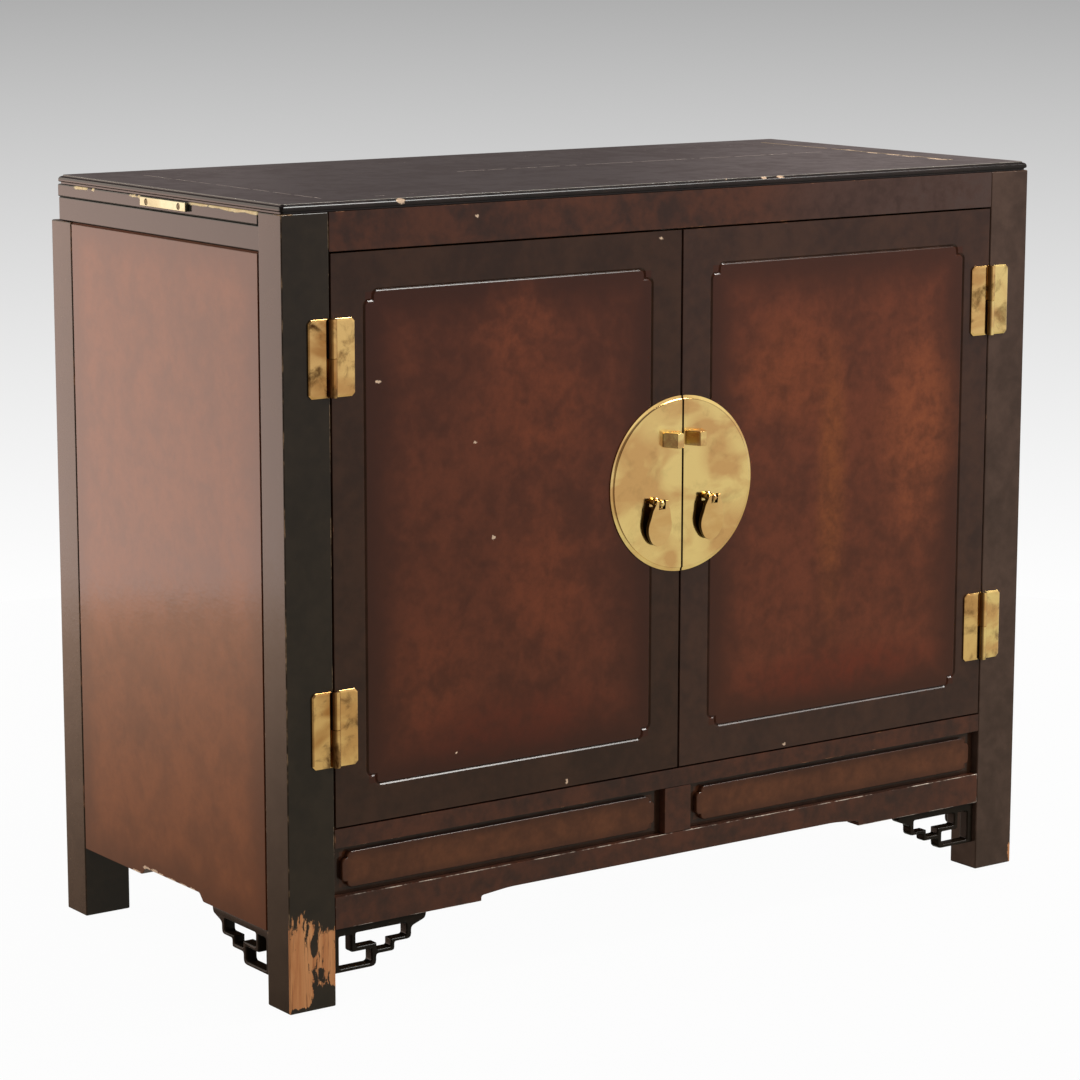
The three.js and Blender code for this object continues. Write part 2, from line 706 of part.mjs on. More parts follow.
// Pieces that stand on both sides
for (const [name, side] of [['left', -1], ['right', 1]]) {
  const put = (piece, geometry, material) => add(piece, mirrored(geometry, side), material);
  put(`front_post_${name}`, post(postInner, 0, railTop), darkLacquer);
  put(`rear_post_${name}`, post(postInner, rearPostFront, carcaseTop), darkLacquer);
  add(`side_panel_${name}`, sidePanel(side), redLacquer);
  put(`side_rail_${name}`, sideRail(), darkLacquer);
  put(`leaf_${name}`, leaf(), darkLacquer);
  put(`leaf_stop_${name}`, leafStop(), plainWood);
  put(`leaf_pull_${name}`, leafPull(), brass);
  put(`apron_panel_${name}`, apronPanel(), redLacquer);
  put(`door_${name}`, door(), redLacquer);
  put(`medallion_half_${name}`, medallionHalf(), brass);
  put(`lug_${name}`, lug(), brass);
  put(`pull_stud_${name}`, pullStud(), brass);
  put(`drop_pull_${name}`, dropPull(), brass);
  const levels = [['upper', doorTop - hingeInset], ['lower', doorFoot + hingeInset]];
  for (const [level, z] of levels) {
    put(`hinge_post_leaf_${level}_${name}`, hingePostLeaf().translate(0, 0, z), brass);
    put(`hinge_door_leaf_${level}_${name}`, hingeDoorLeaf().translate(0, 0, z), brass);
  }
  const strikeX = doorInner + strikeInset;
  const strikeZ = doorTop - strikeInset;
  put(`strike_${name}`, board(strikeX, strikeX + strikeWide, doorThick + seat,
    doorThick + seat + strikeThick, strikeZ - strikeHigh, strikeZ), steel);
  const cleatX = sideInner - seat;
  const cleatZ = shelfZ - boardThick - seat;
  put(`shelf_cleat_${name}`, board(cleatX - cleatWide, cleatX, shelfFront + cleatMargin,
    shelfBack - cleatMargin, cleatZ - cleatHigh, cleatZ), plainWood);
  put(`front_fret_${name}`, fret(frontBoard, betweenPosts, -1, apronFoot - seat,
    fretFrontInset, fretFrontInset + fretThick), darkLacquer);
  const fretFace = halfWidth - fretSideInset;
  put(`side_fret_${name}`, fret(sideBoard, postDeep + seat, 1, sideFoot - seat,
    fretFace - fretThick, fretFace), darkLacquer);
  const legs = [['front', postDeep / 2], ['rear', depth - postDeep / 2]];
  for (const [place, y] of legs) {
    put(`glide_${place}_${name}`, new THREE.CylinderGeometry(
      glideRadius, glideRadius, glideHigh, glideSides).rotateX(Math.PI / 2).translate(
      halfWidth - postWide / 2, y, glideHigh / 2), steel);
  }
}

// The origin is under the middle of the whole cabinet, lugs included.
cabinet.position.y = -(depth + lugFront) / 2;
const whole = new THREE.Group();
whole.add(cabinet);

export default whole;
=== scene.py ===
import json
import math
import bmesh
import bpy
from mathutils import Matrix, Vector


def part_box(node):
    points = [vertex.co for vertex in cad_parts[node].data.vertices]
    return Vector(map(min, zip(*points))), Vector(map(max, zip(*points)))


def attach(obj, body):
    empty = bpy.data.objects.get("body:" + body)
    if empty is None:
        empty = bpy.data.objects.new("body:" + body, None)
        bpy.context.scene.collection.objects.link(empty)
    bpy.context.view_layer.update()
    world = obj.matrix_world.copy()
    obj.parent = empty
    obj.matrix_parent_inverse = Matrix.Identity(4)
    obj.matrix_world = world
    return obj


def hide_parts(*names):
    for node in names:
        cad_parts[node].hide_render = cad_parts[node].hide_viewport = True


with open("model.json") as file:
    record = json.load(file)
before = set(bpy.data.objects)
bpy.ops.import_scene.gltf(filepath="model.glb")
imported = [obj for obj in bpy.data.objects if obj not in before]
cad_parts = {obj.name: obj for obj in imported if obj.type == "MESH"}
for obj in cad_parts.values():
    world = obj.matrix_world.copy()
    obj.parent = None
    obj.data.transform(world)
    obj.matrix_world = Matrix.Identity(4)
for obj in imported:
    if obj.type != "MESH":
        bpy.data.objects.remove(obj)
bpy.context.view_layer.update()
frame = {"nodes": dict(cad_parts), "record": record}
record = frame["record"]
bodyOf = {n: body for body, nodes in record["behaviour"]["bodies"].items() for n in nodes}
mm = 0.001
beyond = 1.0  # metres, past the end of any piece
print("frame loaded")


# Modelling helpers

def deselectAll():
    bpy.ops.object.select_all(action="DESELECT")


def selectOnly(piece):
    deselectAll()
    piece.select_set(True)
    bpy.context.view_layer.objects.active = piece


def named(piece, name):
    piece.name = name
    piece.data.name = name
    return piece


def settle(piece):  # puts the piece's place into its mesh
    selectOnly(piece)
    bpy.ops.object.transform_apply(location=True, rotation=True, scale=True)
    return piece


def openEdit(piece, kind="FACE", everything=False):
    selectOnly(piece)
    bpy.ops.object.mode_set(mode="EDIT")
    bpy.ops.mesh.select_mode(type=kind)
    bpy.ops.mesh.select_all(action="SELECT" if everything else "DESELECT")


def closeEdit():
    bpy.ops.object.mode_set(mode="OBJECT")


def pick(piece, kind, test):  # selects the verts, edges or faces that pass the test
    mesh = bmesh.from_edit_mesh(piece.data)
    mesh.normal_update()
    for part in getattr(mesh, kind):
        part.select_set(bool(test(part)))
    bmesh.update_edit_mesh(piece.data)


def pickEdges(piece, test):  # test(one end, other end)
    pick(piece, "edges", lambda edge: test(edge.verts[0].co, edge.verts[1].co))


def pickFacing(piece, axis, way):  # the faces that look along x, y or z, way 1 or -1
    pick(piece, "faces", lambda face: face.normal[axis] * way > 0.9)


def faceOut(piece):  # turns every face outwards
    openEdit(piece, everything=True)
    bpy.ops.mesh.remove_doubles(threshold=0.001 * mm)
    bpy.ops.mesh.normals_make_consistent(inside=False)
    closeEdit()


def plank(name, low, high):
    low, high = Vector(low), Vector(high)
    deselectAll()
    bpy.ops.mesh.primitive_cube_add(size=1, location=(low + high) / 2, scale=high - low)
    return settle(named(bpy.context.object, name))


def roundEdges(piece, width, segments=2, angle=30):
    bevel = piece.modifiers.new("edges", "BEVEL")
    bevel.width = width
    bevel.segments = segments
    bevel.limit_method = "ANGLE"
    bevel.angle_limit = math.radians(angle)
    selectOnly(piece)
    bpy.ops.object.modifier_apply(modifier=bevel.name)
    return piece


def smooth(piece, angle):  # smooth over small angles, with flat faces kept flat
    selectOnly(piece)
    bpy.ops.object.shade_smooth_by_angle(angle=math.radians(angle))
    weighted = piece.modifiers.new("normals", "WEIGHTED_NORMAL")
    weighted.keep_sharp = True
    bpy.ops.object.modifier_apply(modifier=weighted.name)


def combine(piece, tool, operation):  # a boolean that uses the tool up
    boolean = piece.modifiers.new("combine", "BOOLEAN")
    boolean.operation = operation
    boolean.solver = "EXACT"
    boolean.object = tool
    selectOnly(piece)
    bpy.ops.object.modifier_apply(modifier=boolean.name)
    bpy.data.objects.remove(tool, do_unlink=True)
    return piece


def trace(name, points):  # an outline drawn from point to point and filled
    points = [Vector(point) for point in points]
    deselectAll()
    bpy.ops.mesh.primitive_plane_add(size=mm, location=points[0])
    piece = settle(named(bpy.context.object, name))
    openEdit(piece, "VERT", everything=True)
    bpy.ops.mesh.merge(type="CENTER")
    for before, after in zip(points, points[1:]):
        bpy.ops.mesh.extrude_region_move(TRANSFORM_OT_translate={"value": after - before})
    bpy.ops.mesh.select_all(action="SELECT")
    bpy.ops.mesh.edge_face_add()
    closeEdit()
    return piece


def thicken(piece, along):  # a traced face becomes a board
    openEdit(piece, everything=True)
    bpy.ops.mesh.extrude_region_move(TRANSFORM_OT_translate={"value": Vector(along)})
    closeEdit()
    faceOut(piece)
    return piece


def rod(name, radius, start, end, sides=32):
    start, end = Vector(start), Vector(end)
    along = end - start
    turn = along.to_track_quat("Z", "Y").to_euler()
    deselectAll()
    bpy.ops.mesh.primitive_cylinder_add(
        vertices=sides, radius=radius, depth=along.length, location=(start + end) / 2,
        rotation=turn)
    return settle(named(bpy.context.object, name))


def spun(name, profile, centre, sides):  # a profile [(radius, depth)] spun round a line along y
    centre, axis = Vector(centre), Vector((0, 1, 0))
    piece = trace(name, [centre + Vector((radius, depth, 0)) for radius, depth in profile])
    openEdit(piece, everything=True)
    bpy.ops.mesh.delete(type="ONLY_FACE")
    bpy.ops.mesh.select_mode(type="VERT")
    bpy.ops.mesh.select_all(action="SELECT")
    bpy.ops.mesh.spin(steps=sides, angle=math.tau, center=centre, axis=axis)
    closeEdit()
    faceOut(piece)
    return piece


def mirrored(piece, name):
    selectOnly(piece)
    bpy.ops.object.duplicate()
    other = named(bpy.context.object, name)
    other.scale.x = -1
    settle(other)
    openEdit(other, everything=True)
    bpy.ops.mesh.normals_make_consistent(inside=False)
    closeEdit()
    return other


def pieceName(node):  # front_post_left becomes frontPostLeft
    first, *rest = node.split("_")
    return first + "".join(word.capitalize() for word in rest)


def fit(piece, node, makeMaterial, angle=35):  # dresses a finished piece and hangs it on its body
    named(piece, pieceName(node))
    smooth(piece, angle)
    piece.data.materials.clear()
    piece.data.materials.append(makeMaterial(piece))
    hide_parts(node)
    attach(piece, bodyOf[node])


def fitPair(piece, stem, makeMaterial, angle=35):  # the right-hand piece, and its mirror image
    other = mirrored(piece, stem)
    fit(piece, stem + "_right", makeMaterial, angle)
    fit(other, stem + "_left", makeMaterial, angle)


def boxOf(piece):
    corners = [Vector(corner) for corner in piece.bound_box]
    low = Vector(min(c[i] for c in corners) for i in range(3))
    high = Vector(max(c[i] for c in corners) for i in range(3))
    return low, high


def eased(points, steps=4):  # [(x, y, radius)] with every corner rounded
    result = []
    for i, (x, y, radius) in enumerate(points):
        corner = Vector((x, y))
        if radius == 0:
            result.append(corner)
            continue
        before = Vector(points[i - 1][:2]) - corner
        after = Vector(points[(i + 1) % len(points)][:2]) - corner
        enter = corner + before.normalized() * radius
        leave = corner + after.normalized() * radius
        for step in range(steps + 1):
            t = step / steps
            result.append(enter * (1 - t) ** 2 + corner * 2 * t * (1 - t) + leave * t * t)
    return result


def stepped(x0, x1, z0, z1, step, radius, grow=0, steps=6):
    # a rectangle whose corners step in and swell out again in two quarter rounds
    r = radius + grow
    corner = []
    for dx, dz in ((0, step), (step, 0)):
        for i in range(steps + 1):
            turn = i / steps * math.pi / 2
            corner.append((-dx - r + r * math.cos(turn), -dz - r + r * math.sin(turn)))
        if dx == 0:
            corner.append((-step, -step))
    points = []
    for turn in range(4):
        cx = (x1 + grow) if turn in (0, 3) else (x0 - grow)
        cz = (z1 + grow) if turn in (0, 1) else (z0 - grow)
        for a, b in corner:
            u, v = ((a, b), (-b, a), (-a, -b), (b, -a))[turn]
            points.append((cx + u, cz + v))
    return points


# Shader helpers

def tint(hexCode):  # "#rrggbb" as linear colour
    values = [int(hexCode[i:i + 2], 16) / 255 for i in (1, 3, 5)]
    linear = [v / 12.92 if v <= 0.04045 else ((v + 0.055) / 1.055) ** 2.4 for v in values]
    return (*linear, 1.0)


def feed(tree, socket, value):  # links another node's output, or sets a constant
    if isinstance(value, bpy.types.NodeSocket):
        tree.links.new(value, socket)
    else:
        socket.default_value = value


def put(tree, kind, inputs=None, **settings):
    made = tree.nodes.new(kind)
    for key, value in settings.items():
        setattr(made, key, value)
    for key, value in (inputs or {}).items():
        feed(tree, made.inputs[key], value)
    return made


def maths(tree, operation, *values, clamp=False):
    inputs = dict(enumerate(values))
    return put(tree, "ShaderNodeMath", inputs, operation=operation, use_clamp=clamp).outputs[0]


def chain(tree, operation, values, clamp):  # only the last step is held between 0 and 1
    result, *middle, last = values
    for value in middle:
        result = maths(tree, operation, result, value)
    return maths(tree, operation, result, last, clamp=clamp)


def times(tree, *values, clamp=False):
    return chain(tree, "MULTIPLY", values, clamp)


def plus(tree, *values, clamp=False):
    return chain(tree, "ADD", values, clamp)


def minus(tree, *values, clamp=False):
    return chain(tree, "SUBTRACT", values, clamp)


def largest(tree, *values):
    return chain(tree, "MAXIMUM", values, False)


def smallest(tree, *values):
    return chain(tree, "MINIMUM", values, False)


def absolute(tree, value):
    return maths(tree, "ABSOLUTE", value)


def vectorMaths(tree, operation, *values, output="Vector"):
    inputs = dict(enumerate(values))
    return put(tree, "ShaderNodeVectorMath", inputs, operation=operation).outputs[output]


def ramp(tree, value, low, high, start=0.0, end=1.0):  # low..high becomes start..end, smoothly
    return put(tree, "ShaderNodeMapRange", {
        "Value": value, "From Min": low, "From Max": high, "To Min": start, "To Max": end},
        interpolation_type="SMOOTHSTEP").outputs[0]


def band(tree, value, origin, first, second, share=1.0):  # nothing at first, share from second on
    return ramp(tree, value, origin + first * mm, origin + second * mm, 0.0, share)


def blend(tree, amount, first, second):
    made = put(tree, "ShaderNodeMix", data_type="RGBA")
    for index, value in ((0, amount), (6, first), (7, second)):  # 6 and 7 are its colours
        feed(tree, made.inputs[index], value)
    return made.outputs[2]


def noise(tree, place, scale, detail=3.0, roughness=0.55, distortion=0.0, output="Fac"):
    return put(tree, "ShaderNodeTexNoise", {
        "Vector": place, "Scale": scale, "Detail": detail, "Roughness": roughness,
        "Distortion": distortion}).outputs[output]


def bump(tree, height, strength, distance):
    return put(tree, "ShaderNodeBump", {
        "Height": height, "Strength": strength, "Distance": distance}).outputs[0]


def coordinates(tree, kind="Object"):
    return put(tree, "ShaderNodeTexCoord").outputs[kind]


def parted(tree, vector):  # its x, y and z
    return put(tree, "ShaderNodeSeparateXYZ", {0: vector}).outputs


def newGroup(name, inputs, outputs):  # an input is a number with its default, or a vector
    group = bpy.data.node_groups.new(name, "ShaderNodeTree")
    for label, value in inputs.items():
        kind = "NodeSocketFloat" if isinstance(value, float) else "NodeSocketVector"
        socket = group.interface.new_socket(label, in_out="INPUT", socket_type=kind)
        socket.default_value = value
    for label in outputs:
        group.interface.new_socket(label, in_out="OUTPUT", socket_type="NodeSocketFloat")
    start = group.nodes.new("NodeGroupInput")
    end = group.nodes.new("NodeGroupOutput")
    return group, start.outputs, end.inputs


def placeGroup(tree, group, inputs):
    return put(tree, "ShaderNodeGroup", inputs, node_tree=group).outputs


zero = (0.0, 0.0, 0.0)


def makeBoxDistances():  # how far a point is from the faces and from the edges of a box
    group, given, out = newGroup("boxDistances", {"Centre": zero, "Half": zero},
                                 ["Nearest", "Edge"])
    shifted = vectorMaths(group, "SUBTRACT", coordinates(group), given["Centre"])
    depth = vectorMaths(group, "SUBTRACT", given["Half"], vectorMaths(group, "ABSOLUTE", shifted))
    x, y, z = parted(group, depth)
    lower, upper = smallest(group, x, y), largest(group, x, y)
    feed(group, out["Nearest"], smallest(group, lower, z))
    feed(group, out["Edge"], largest(group, lower, smallest(group, upper, z)))
    return group


wearPattern = {  # how much finer the small pattern is, where patches begin and how softly
    "finer": 7.0, "reach": 2.0, "least": 0.72, "lower": 0.45, "soft": 0.12, "rim": (0.1, 0.5),
}


def makeEdgeWear():  # broken patches along the edges of a box-shaped piece
    s = wearPattern
    group, given, out = newGroup("edgeWear", {
        "Edge": 0.0, "Reach": 1.5 * mm, "Amount": 0.4, "Scale": 60.0}, ["Mask"])
    place = coordinates(group)
    patches = noise(group, place, given["Scale"], detail=4.0, roughness=0.6)
    fine = noise(group, place, times(group, given["Scale"], s["finer"]), roughness=0.6)
    reach = times(group, given["Reach"], fine, s["reach"])
    near = minus(group, 1.0, maths(group, "DIVIDE", given["Edge"], reach), clamp=True)
    least = minus(group, s["least"], times(group, given["Amount"], s["lower"]))
    broken = ramp(group, patches, least, plus(group, least, s["soft"]))
    feed(group, out["Mask"], times(group, ramp(group, near, *s["rim"]), broken, clamp=True))
    return group


cloudPattern = {
    # times the given scale, share of the sum, detail, roughness, distortion
    "layers": [(1.0, 0.34, 2.0, 0.5, 0.3), (4.0, 0.4, 3.0, 0.5, 0.5),
               (9.0, 0.26, 3.0, 0.55, 0.0)],
    "cloud": (0.34, 0.66), "speckleFiner": 26.0, "speckle": (0.42, 0.68),
}


def makeMottle():  # clouds under lacquer, from a hand's width down to a fingertip
    s = cloudPattern
    group, given, out = newGroup("mottle", {"Scale": 12.0, "Shift": zero}, ["Cloud", "Speckle"])
    place = vectorMaths(group, "ADD", coordinates(group), given["Shift"])
    layers = []
    for finer, share, *look in s["layers"]:
        layer = noise(group, place, times(group, given["Scale"], finer), *look)
        layers.append(times(group, layer, share))
    feed(group, out["Cloud"], ramp(group, plus(group, *layers), *s["cloud"]))
    fine = times(group, given["Scale"], s["speckleFiner"])
    speckle = noise(group, place, fine, roughness=0.7)
    feed(group, out["Speckle"], ramp(group, speckle, *s["speckle"]))
    return group


markLooks = {  # the share of a mark's size that is whole, and how a chip's rim wanders
    "spotCore": 0.15, "chipCore": 0.8, "chipScale": 420.0, "wander": 5 * mm,
}


def awayFrom(tree, place, given):  # distance from the given place, in given sizes
    away = vectorMaths(tree, "SUBTRACT", place, given["Place"])
    return vectorMaths(tree, "LENGTH", vectorMaths(tree, "DIVIDE", away, given["Size"]),
                       output="Value")


def makeSpot():  # a soft round patch at a place
    group, given, out = newGroup("spot", {"Place": zero, "Size": zero}, ["Mask"])
    away = awayFrom(group, coordinates(group), given)
    feed(group, out["Mask"], ramp(group, away, 1.0, markLooks["spotCore"]))
    return group


def makeChip():  # one small ragged chip at a place
    s = markLooks
    group, given, out = newGroup("chip", {"Place": zero, "Size": zero}, ["Mask"])
    place = coordinates(group)
    ragged = noise(group, place, s["chipScale"], roughness=0.5, output="Color")
    centred = vectorMaths(group, "SUBTRACT", ragged, (0.5, 0.5, 0.5))
    wander = vectorMaths(group, "MULTIPLY", centred, (s["wander"],) * 3)
    away = awayFrom(group, vectorMaths(group, "ADD", place, wander), given)
    feed(group, out["Mask"], ramp(group, away, 1.0, s["chipCore"]))
    return group


scratchPattern = {
    # angle, squeeze, scale, scale of the places where they show
    "ways": [(4, 0.03, 150.0, 9.2), (-17, 0.05, 110.0, 8.15), (62, 0.06, 90.0, 12.1)],
    "line": (0.73, 0.77), "shown": (0.5, 0.62),
}


def makeScratches():  # fine straight scratches, some across and some along
    s = scratchPattern
    group, given, out = newGroup("scratches", {"Density": 0.5}, ["Mask"])
    place = coordinates(group)
    masks = []
    for angle, squeeze, scale, shownScale in s["ways"]:
        turned = put(group, "ShaderNodeMapping", {
            "Vector": place, "Rotation": (0, 0, math.radians(angle)), "Scale": (squeeze, 1, 1)})
        line = noise(group, turned.outputs[0], scale, detail=1.0, roughness=0.4)
        shown = noise(group, place, shownScale, detail=2.0)
        masks.append(times(group, ramp(group, line, *s["line"]), ramp(group, shown, *s["shown"])))
    feed(group, out["Mask"], times(group, plus(group, *masks), given["Density"], clamp=True))
    return group


grainPattern = {"poresFiner": 6.0, "grain": (0.3, 0.72), "pores": (0.56, 0.72)}


def makeGrain():  # long pale and dark streaks of bare wood, up the piece or along it
    s = grainPattern
    group, given, out = newGroup("grain", {"Stretch": zero, "Scale": 90.0}, ["Grain", "Pores"])
    place = vectorMaths(group, "MULTIPLY", coordinates(group), given["Stretch"])
    bands = noise(group, place, given["Scale"], detail=5.0, roughness=0.65, distortion=0.6)
    pores = noise(group, place, times(group, given["Scale"], s["poresFiner"]), roughness=0.6)
    feed(group, out["Grain"], ramp(group, bands, *s["grain"]))
    feed(group, out["Pores"], ramp(group, pores, *s["pores"]))
    return group


tarnishPattern = {
    "wide": (0.6, 1.0, 1.0), "patch": (0.36, 0.64), "stain": (0.5, 0.72), "stainFiner": 1.3,
    "fineFiner": 12.0,
}


def makeTarnish():  # cloudy patches and darker stains on brass
    s = tarnishPattern
    group, given, out = newGroup("tarnish", {"Scale": 40.0, "Shift": zero},
                                 ["Patch", "Stain", "Fine"])
    place = vectorMaths(group, "ADD", coordinates(group), given["Shift"])
    scale = given["Scale"]
    wide = vectorMaths(group, "MULTIPLY", place, s["wide"])
    patch = noise(group, wide, scale, roughness=0.5, distortion=0.5)
    feed(group, out["Patch"], ramp(group, patch, *s["patch"]))
    stain = noise(group, place, times(group, scale, s["stainFiner"]), detail=5.0, roughness=0.6,
                  distortion=0.4)
    feed(group, out["Stain"], ramp(group, stain, *s["stain"]))
    fine = noise(group, place, times(group, scale, s["fineFiner"]), detail=4.0, roughness=0.7)
    feed(group, out["Fine"], fine)
    return group


boxDistances = makeBoxDistances()
edgeWear = makeEdgeWear()
mottle = makeMottle()
spot = makeSpot()
scratches = makeScratches()
chip = makeChip()
grain = makeGrain()
tarnish = makeTarnish()


def maskAt(tree, group, place, half):  # a spot or a chip, in millimetres
    return placeGroup(tree, group, {"Place": Vector(place) * mm, "Size": Vector(half) * mm})["Mask"]


def ownEdge(tree, piece):  # how far a point is from the edges of the piece's box
    low, high = boxOf(piece)
    return placeGroup(tree, boxDistances, {
        "Centre": (low + high) / 2, "Half": (high - low) / 2})["Edge"]


def newMaterial(name):
    material = bpy.data.materials.new(name)
    material.use_nodes = True
    tree = material.node_tree
    return material, tree, tree.nodes["Principled BSDF"].inputs


bareWood = {  # pale, middle and dark streaks
    "leg": (tint("#cf9563"), tint("#ae6d40"), tint("#6f4226")),
    "leaf": (tint("#f0dcae"), tint("#dcc190"), tint("#9a7d50")),
    "plain": (tint("#9a6b43"), tint("#6a4426"), tint("#452a17")),
}


def woodColour(tree, streaks, tone, poreShare):
    pale, middle, dark = bareWood[tone]
    wood = blend(tree, streaks["Grain"], middle, pale)
    return blend(tree, times(tree, streaks["Pores"], poreShare), wood, dark)


lacquerLooks = {
    # deep and glow are the two colours of the clouds, rub is what shows where an edge is worn
    # the left front post's pale rub paints the highlight along its arrises as well as their wear
    "post": {"deep": "#241d15", "glow": "#2e251b", "rub": "#96795c",
             "cloudScale": 9.0, "wearReach": 1.4, "wear": 0.55, "roughness": 0.08},
    "leaf": {"deep": "#1b1b18", "glow": "#23221e", "rub": "#6f5f4c",
             "cloudScale": 9.0, "wearReach": 1.0, "wear": 0.1, "roughness": 0.08},
    "rearPost": {"deep": "#2e241a", "glow": "#3c2f23", "rub": "#94694a",
                 "cloudScale": 9.0, "wearReach": 1.4, "wear": 0.4, "roughness": 0.08},
    # lighter than the left post: its colours carry a painted sheen of the light from the right
    "rightPost": {"deep": "#3a2a21", "glow": "#4d3a30", "rub": "#8a6248",
                  "cloudScale": 9.0, "wearReach": 1.2, "wear": 0.3, "roughness": 0.1},
    "rail": {"deep": "#33211a", "glow": "#532f20", "rub": "#8a5c3c",
             "cloudScale": 11.0, "wearReach": 1.2, "wear": 0.3, "roughness": 0.1},
    # its pale rub paints the glint along its top arris as well as wear
    "apronFoot": {"deep": "#33211a", "glow": "#532f20", "rub": "#c9bdae",
                  "cloudScale": 11.0, "wearReach": 1.0, "wear": 0.6, "roughness": 0.1},
    "fret": {"deep": "#17130e", "glow": "#221a13", "rub": "#4a3424",
             "cloudScale": 16.0, "wearReach": 0.8, "wear": 0.1, "roughness": 0.2, "ior": 1.18},
    "leftDoor": {"deep": "#381b10", "glow": "#60301d", "rub": "#7a4a31",
                 "cloudScale": 10.0, "wearReach": 0.9, "wear": 0.2, "roughness": 0.08},
    "rightDoor": {"deep": "#3c1e12", "glow": "#68341f", "rub": "#7a4a31",
                  "cloudScale": 10.0, "wearReach": 0.9, "wear": 0.2, "roughness": 0.08},
    "apron": {"deep": "#3a2015", "glow": "#623922", "rub": "#6f4a34",
              "cloudScale": 12.0, "wearReach": 0.8, "wear": 0.05, "roughness": 0.1},
    "side": {"deep": "#502a17", "glow": "#7d4525", "rub": "#a07a58",
             "cloudScale": 6.0, "wearReach": 1.0, "wear": 0.2, "roughness": 0.035},
}

polish = {  # what all the lacquer shares
    "ior": 1.3, "unevenness": 0.04, "dulled": 0.4, "relief": 0.3, "reliefDeep": 0.25 * mm,
    "cloudShare": 0.65, "speckleShare": 0.14, "speckleHigh": 0.1, "rubShare": 0.8,
    "wearScale": 26.0, "spotLeast": 0.3, "rimHalf": 0.5 * mm, "chip": tint("#cfb398"),
    "bareDeep": 1.5, "barePores": 0.6, "bareStretch": (1.0, 1.0, 0.06), "bareScale": 90.0,
    "shiftShares": (0.37, 0.21), "shift": (0.11, 0.23),  # so that no two pieces look alike
}


def takeOff(tree, coat, mask, under, deep=1.0):  # lacquer gone where the mask is
    colour, height, dull = coat
    return (blend(tree, mask, colour, under), minus(tree, height, times(tree, mask, deep)),
            largest(tree, dull, mask))


def finishCoat(tree, shader, colour, rough, height, deep):
    feed(tree, shader["Base Color"], colour)
    feed(tree, shader["Roughness"], rough)
    feed(tree, shader["Normal"], bump(tree, height, polish["relief"], deep))


def lacquer(look, centre=None, half=None, glowReach=0.0, glowFloor=0.0, border=None, spots=(),
            chips=(), bare=None, tone="leg"):
    # glow grows from the rim of the box (centre, half) to full over glowReach;
    # border is the colour outside that box
    looks = lacquerLooks[look]
    deep, glow, rub = (tint(looks[key]) for key in ("deep", "glow", "rub"))

    def make(piece):
        material, tree, shader = newMaterial("lacquer_" + piece.name)
        low, high = boxOf(piece)
        across, up = polish["shiftShares"]
        clouds = placeGroup(tree, mottle, {
            "Scale": looks["cloudScale"],
            "Shift": (across * low.x + up * low.z, *polish["shift"])})
        cloud, speckle = clouds["Cloud"], clouds["Speckle"]
        strength = cloud
        if glowReach:
            middle = Vector(centre)
            if low.x + high.x < 0:
                middle.x = -abs(middle.x)
            inside = placeGroup(tree, boxDistances, {"Centre": middle, "Half": half})["Nearest"]
            share = polish["cloudShare"]
            strength = times(tree, plus(tree, times(tree, cloud, share), 1 - share),
                             ramp(tree, inside, 0.0, glowReach, glowFloor, 1.0))
        colour = blend(tree, strength, deep, glow)
        for place, size, amount, hue in spots:
            broken = times(tree, plus(tree, cloud, polish["spotLeast"]), amount)
            mask = times(tree, maskAt(tree, spot, place, size), broken, clamp=True)
            colour = blend(tree, mask, colour, tint(hue))
        if border:
            outside = ramp(tree, inside, polish["rimHalf"], -polish["rimHalf"])
            colour = blend(tree, outside, colour, blend(tree, cloud, *map(tint, border)))
        colour = blend(tree, times(tree, speckle, polish["speckleShare"]), colour, deep)
        worn = placeGroup(tree, edgeWear, {
            "Edge": ownEdge(tree, piece), "Reach": looks["wearReach"] * mm,
            "Amount": looks["wear"], "Scale": polish["wearScale"]})["Mask"]
        coat = (blend(tree, times(tree, worn, polish["rubShare"]), colour, rub),
                minus(tree, times(tree, speckle, polish["speckleHigh"]), worn), worn)
        for place, size in chips:
            coat = takeOff(tree, coat, maskAt(tree, chip, place, size), polish["chip"])
        if bare:
            streaks = placeGroup(tree, grain, {
                "Stretch": polish["bareStretch"], "Scale": polish["bareScale"]})
            wood = woodColour(tree, streaks, tone, polish["barePores"])
            coat = takeOff(tree, coat, bare(tree, piece), wood, polish["bareDeep"])
        colour, height, dull = coat
        rough = ramp(tree, cloud, 0.0, 1.0, looks["roughness"],
                     looks["roughness"] + polish["unevenness"])
        rough = plus(tree, rough, times(tree, dull, polish["dulled"]), clamp=True)
        finishCoat(tree, shader, colour, rough, height, polish["reliefDeep"])
        shader["IOR"].default_value = looks.get("ior", polish["ior"])
        return material
    return make


brassTones = {  # light, warm
    "bright": ("#f2d68e", "#d8ac70"), "aged": ("#dcb474", "#ab7843"),
    "plain": ("#ebc486", "#e0b477"), "dull": ("#969a82", "#8b8c72"),
    "rubbed": ("#e8c27e", "#cb9d62"),
}

brassLooks = {
    # the stain colour darkens real stains and the painted shade on hinge barrels and lug flanks;
    # the black one does so on the drops' edges and backs
    "stain": tint("#4d3018"), "soot": tint("#17150e"), "fine": (0.3, 0.75, 0.08, 0.18),
    "stainAndShadeRough": 0.3, "dentDeep": 0.1 * mm, "cloudFace": -234, "cloudDeep": 99,
}


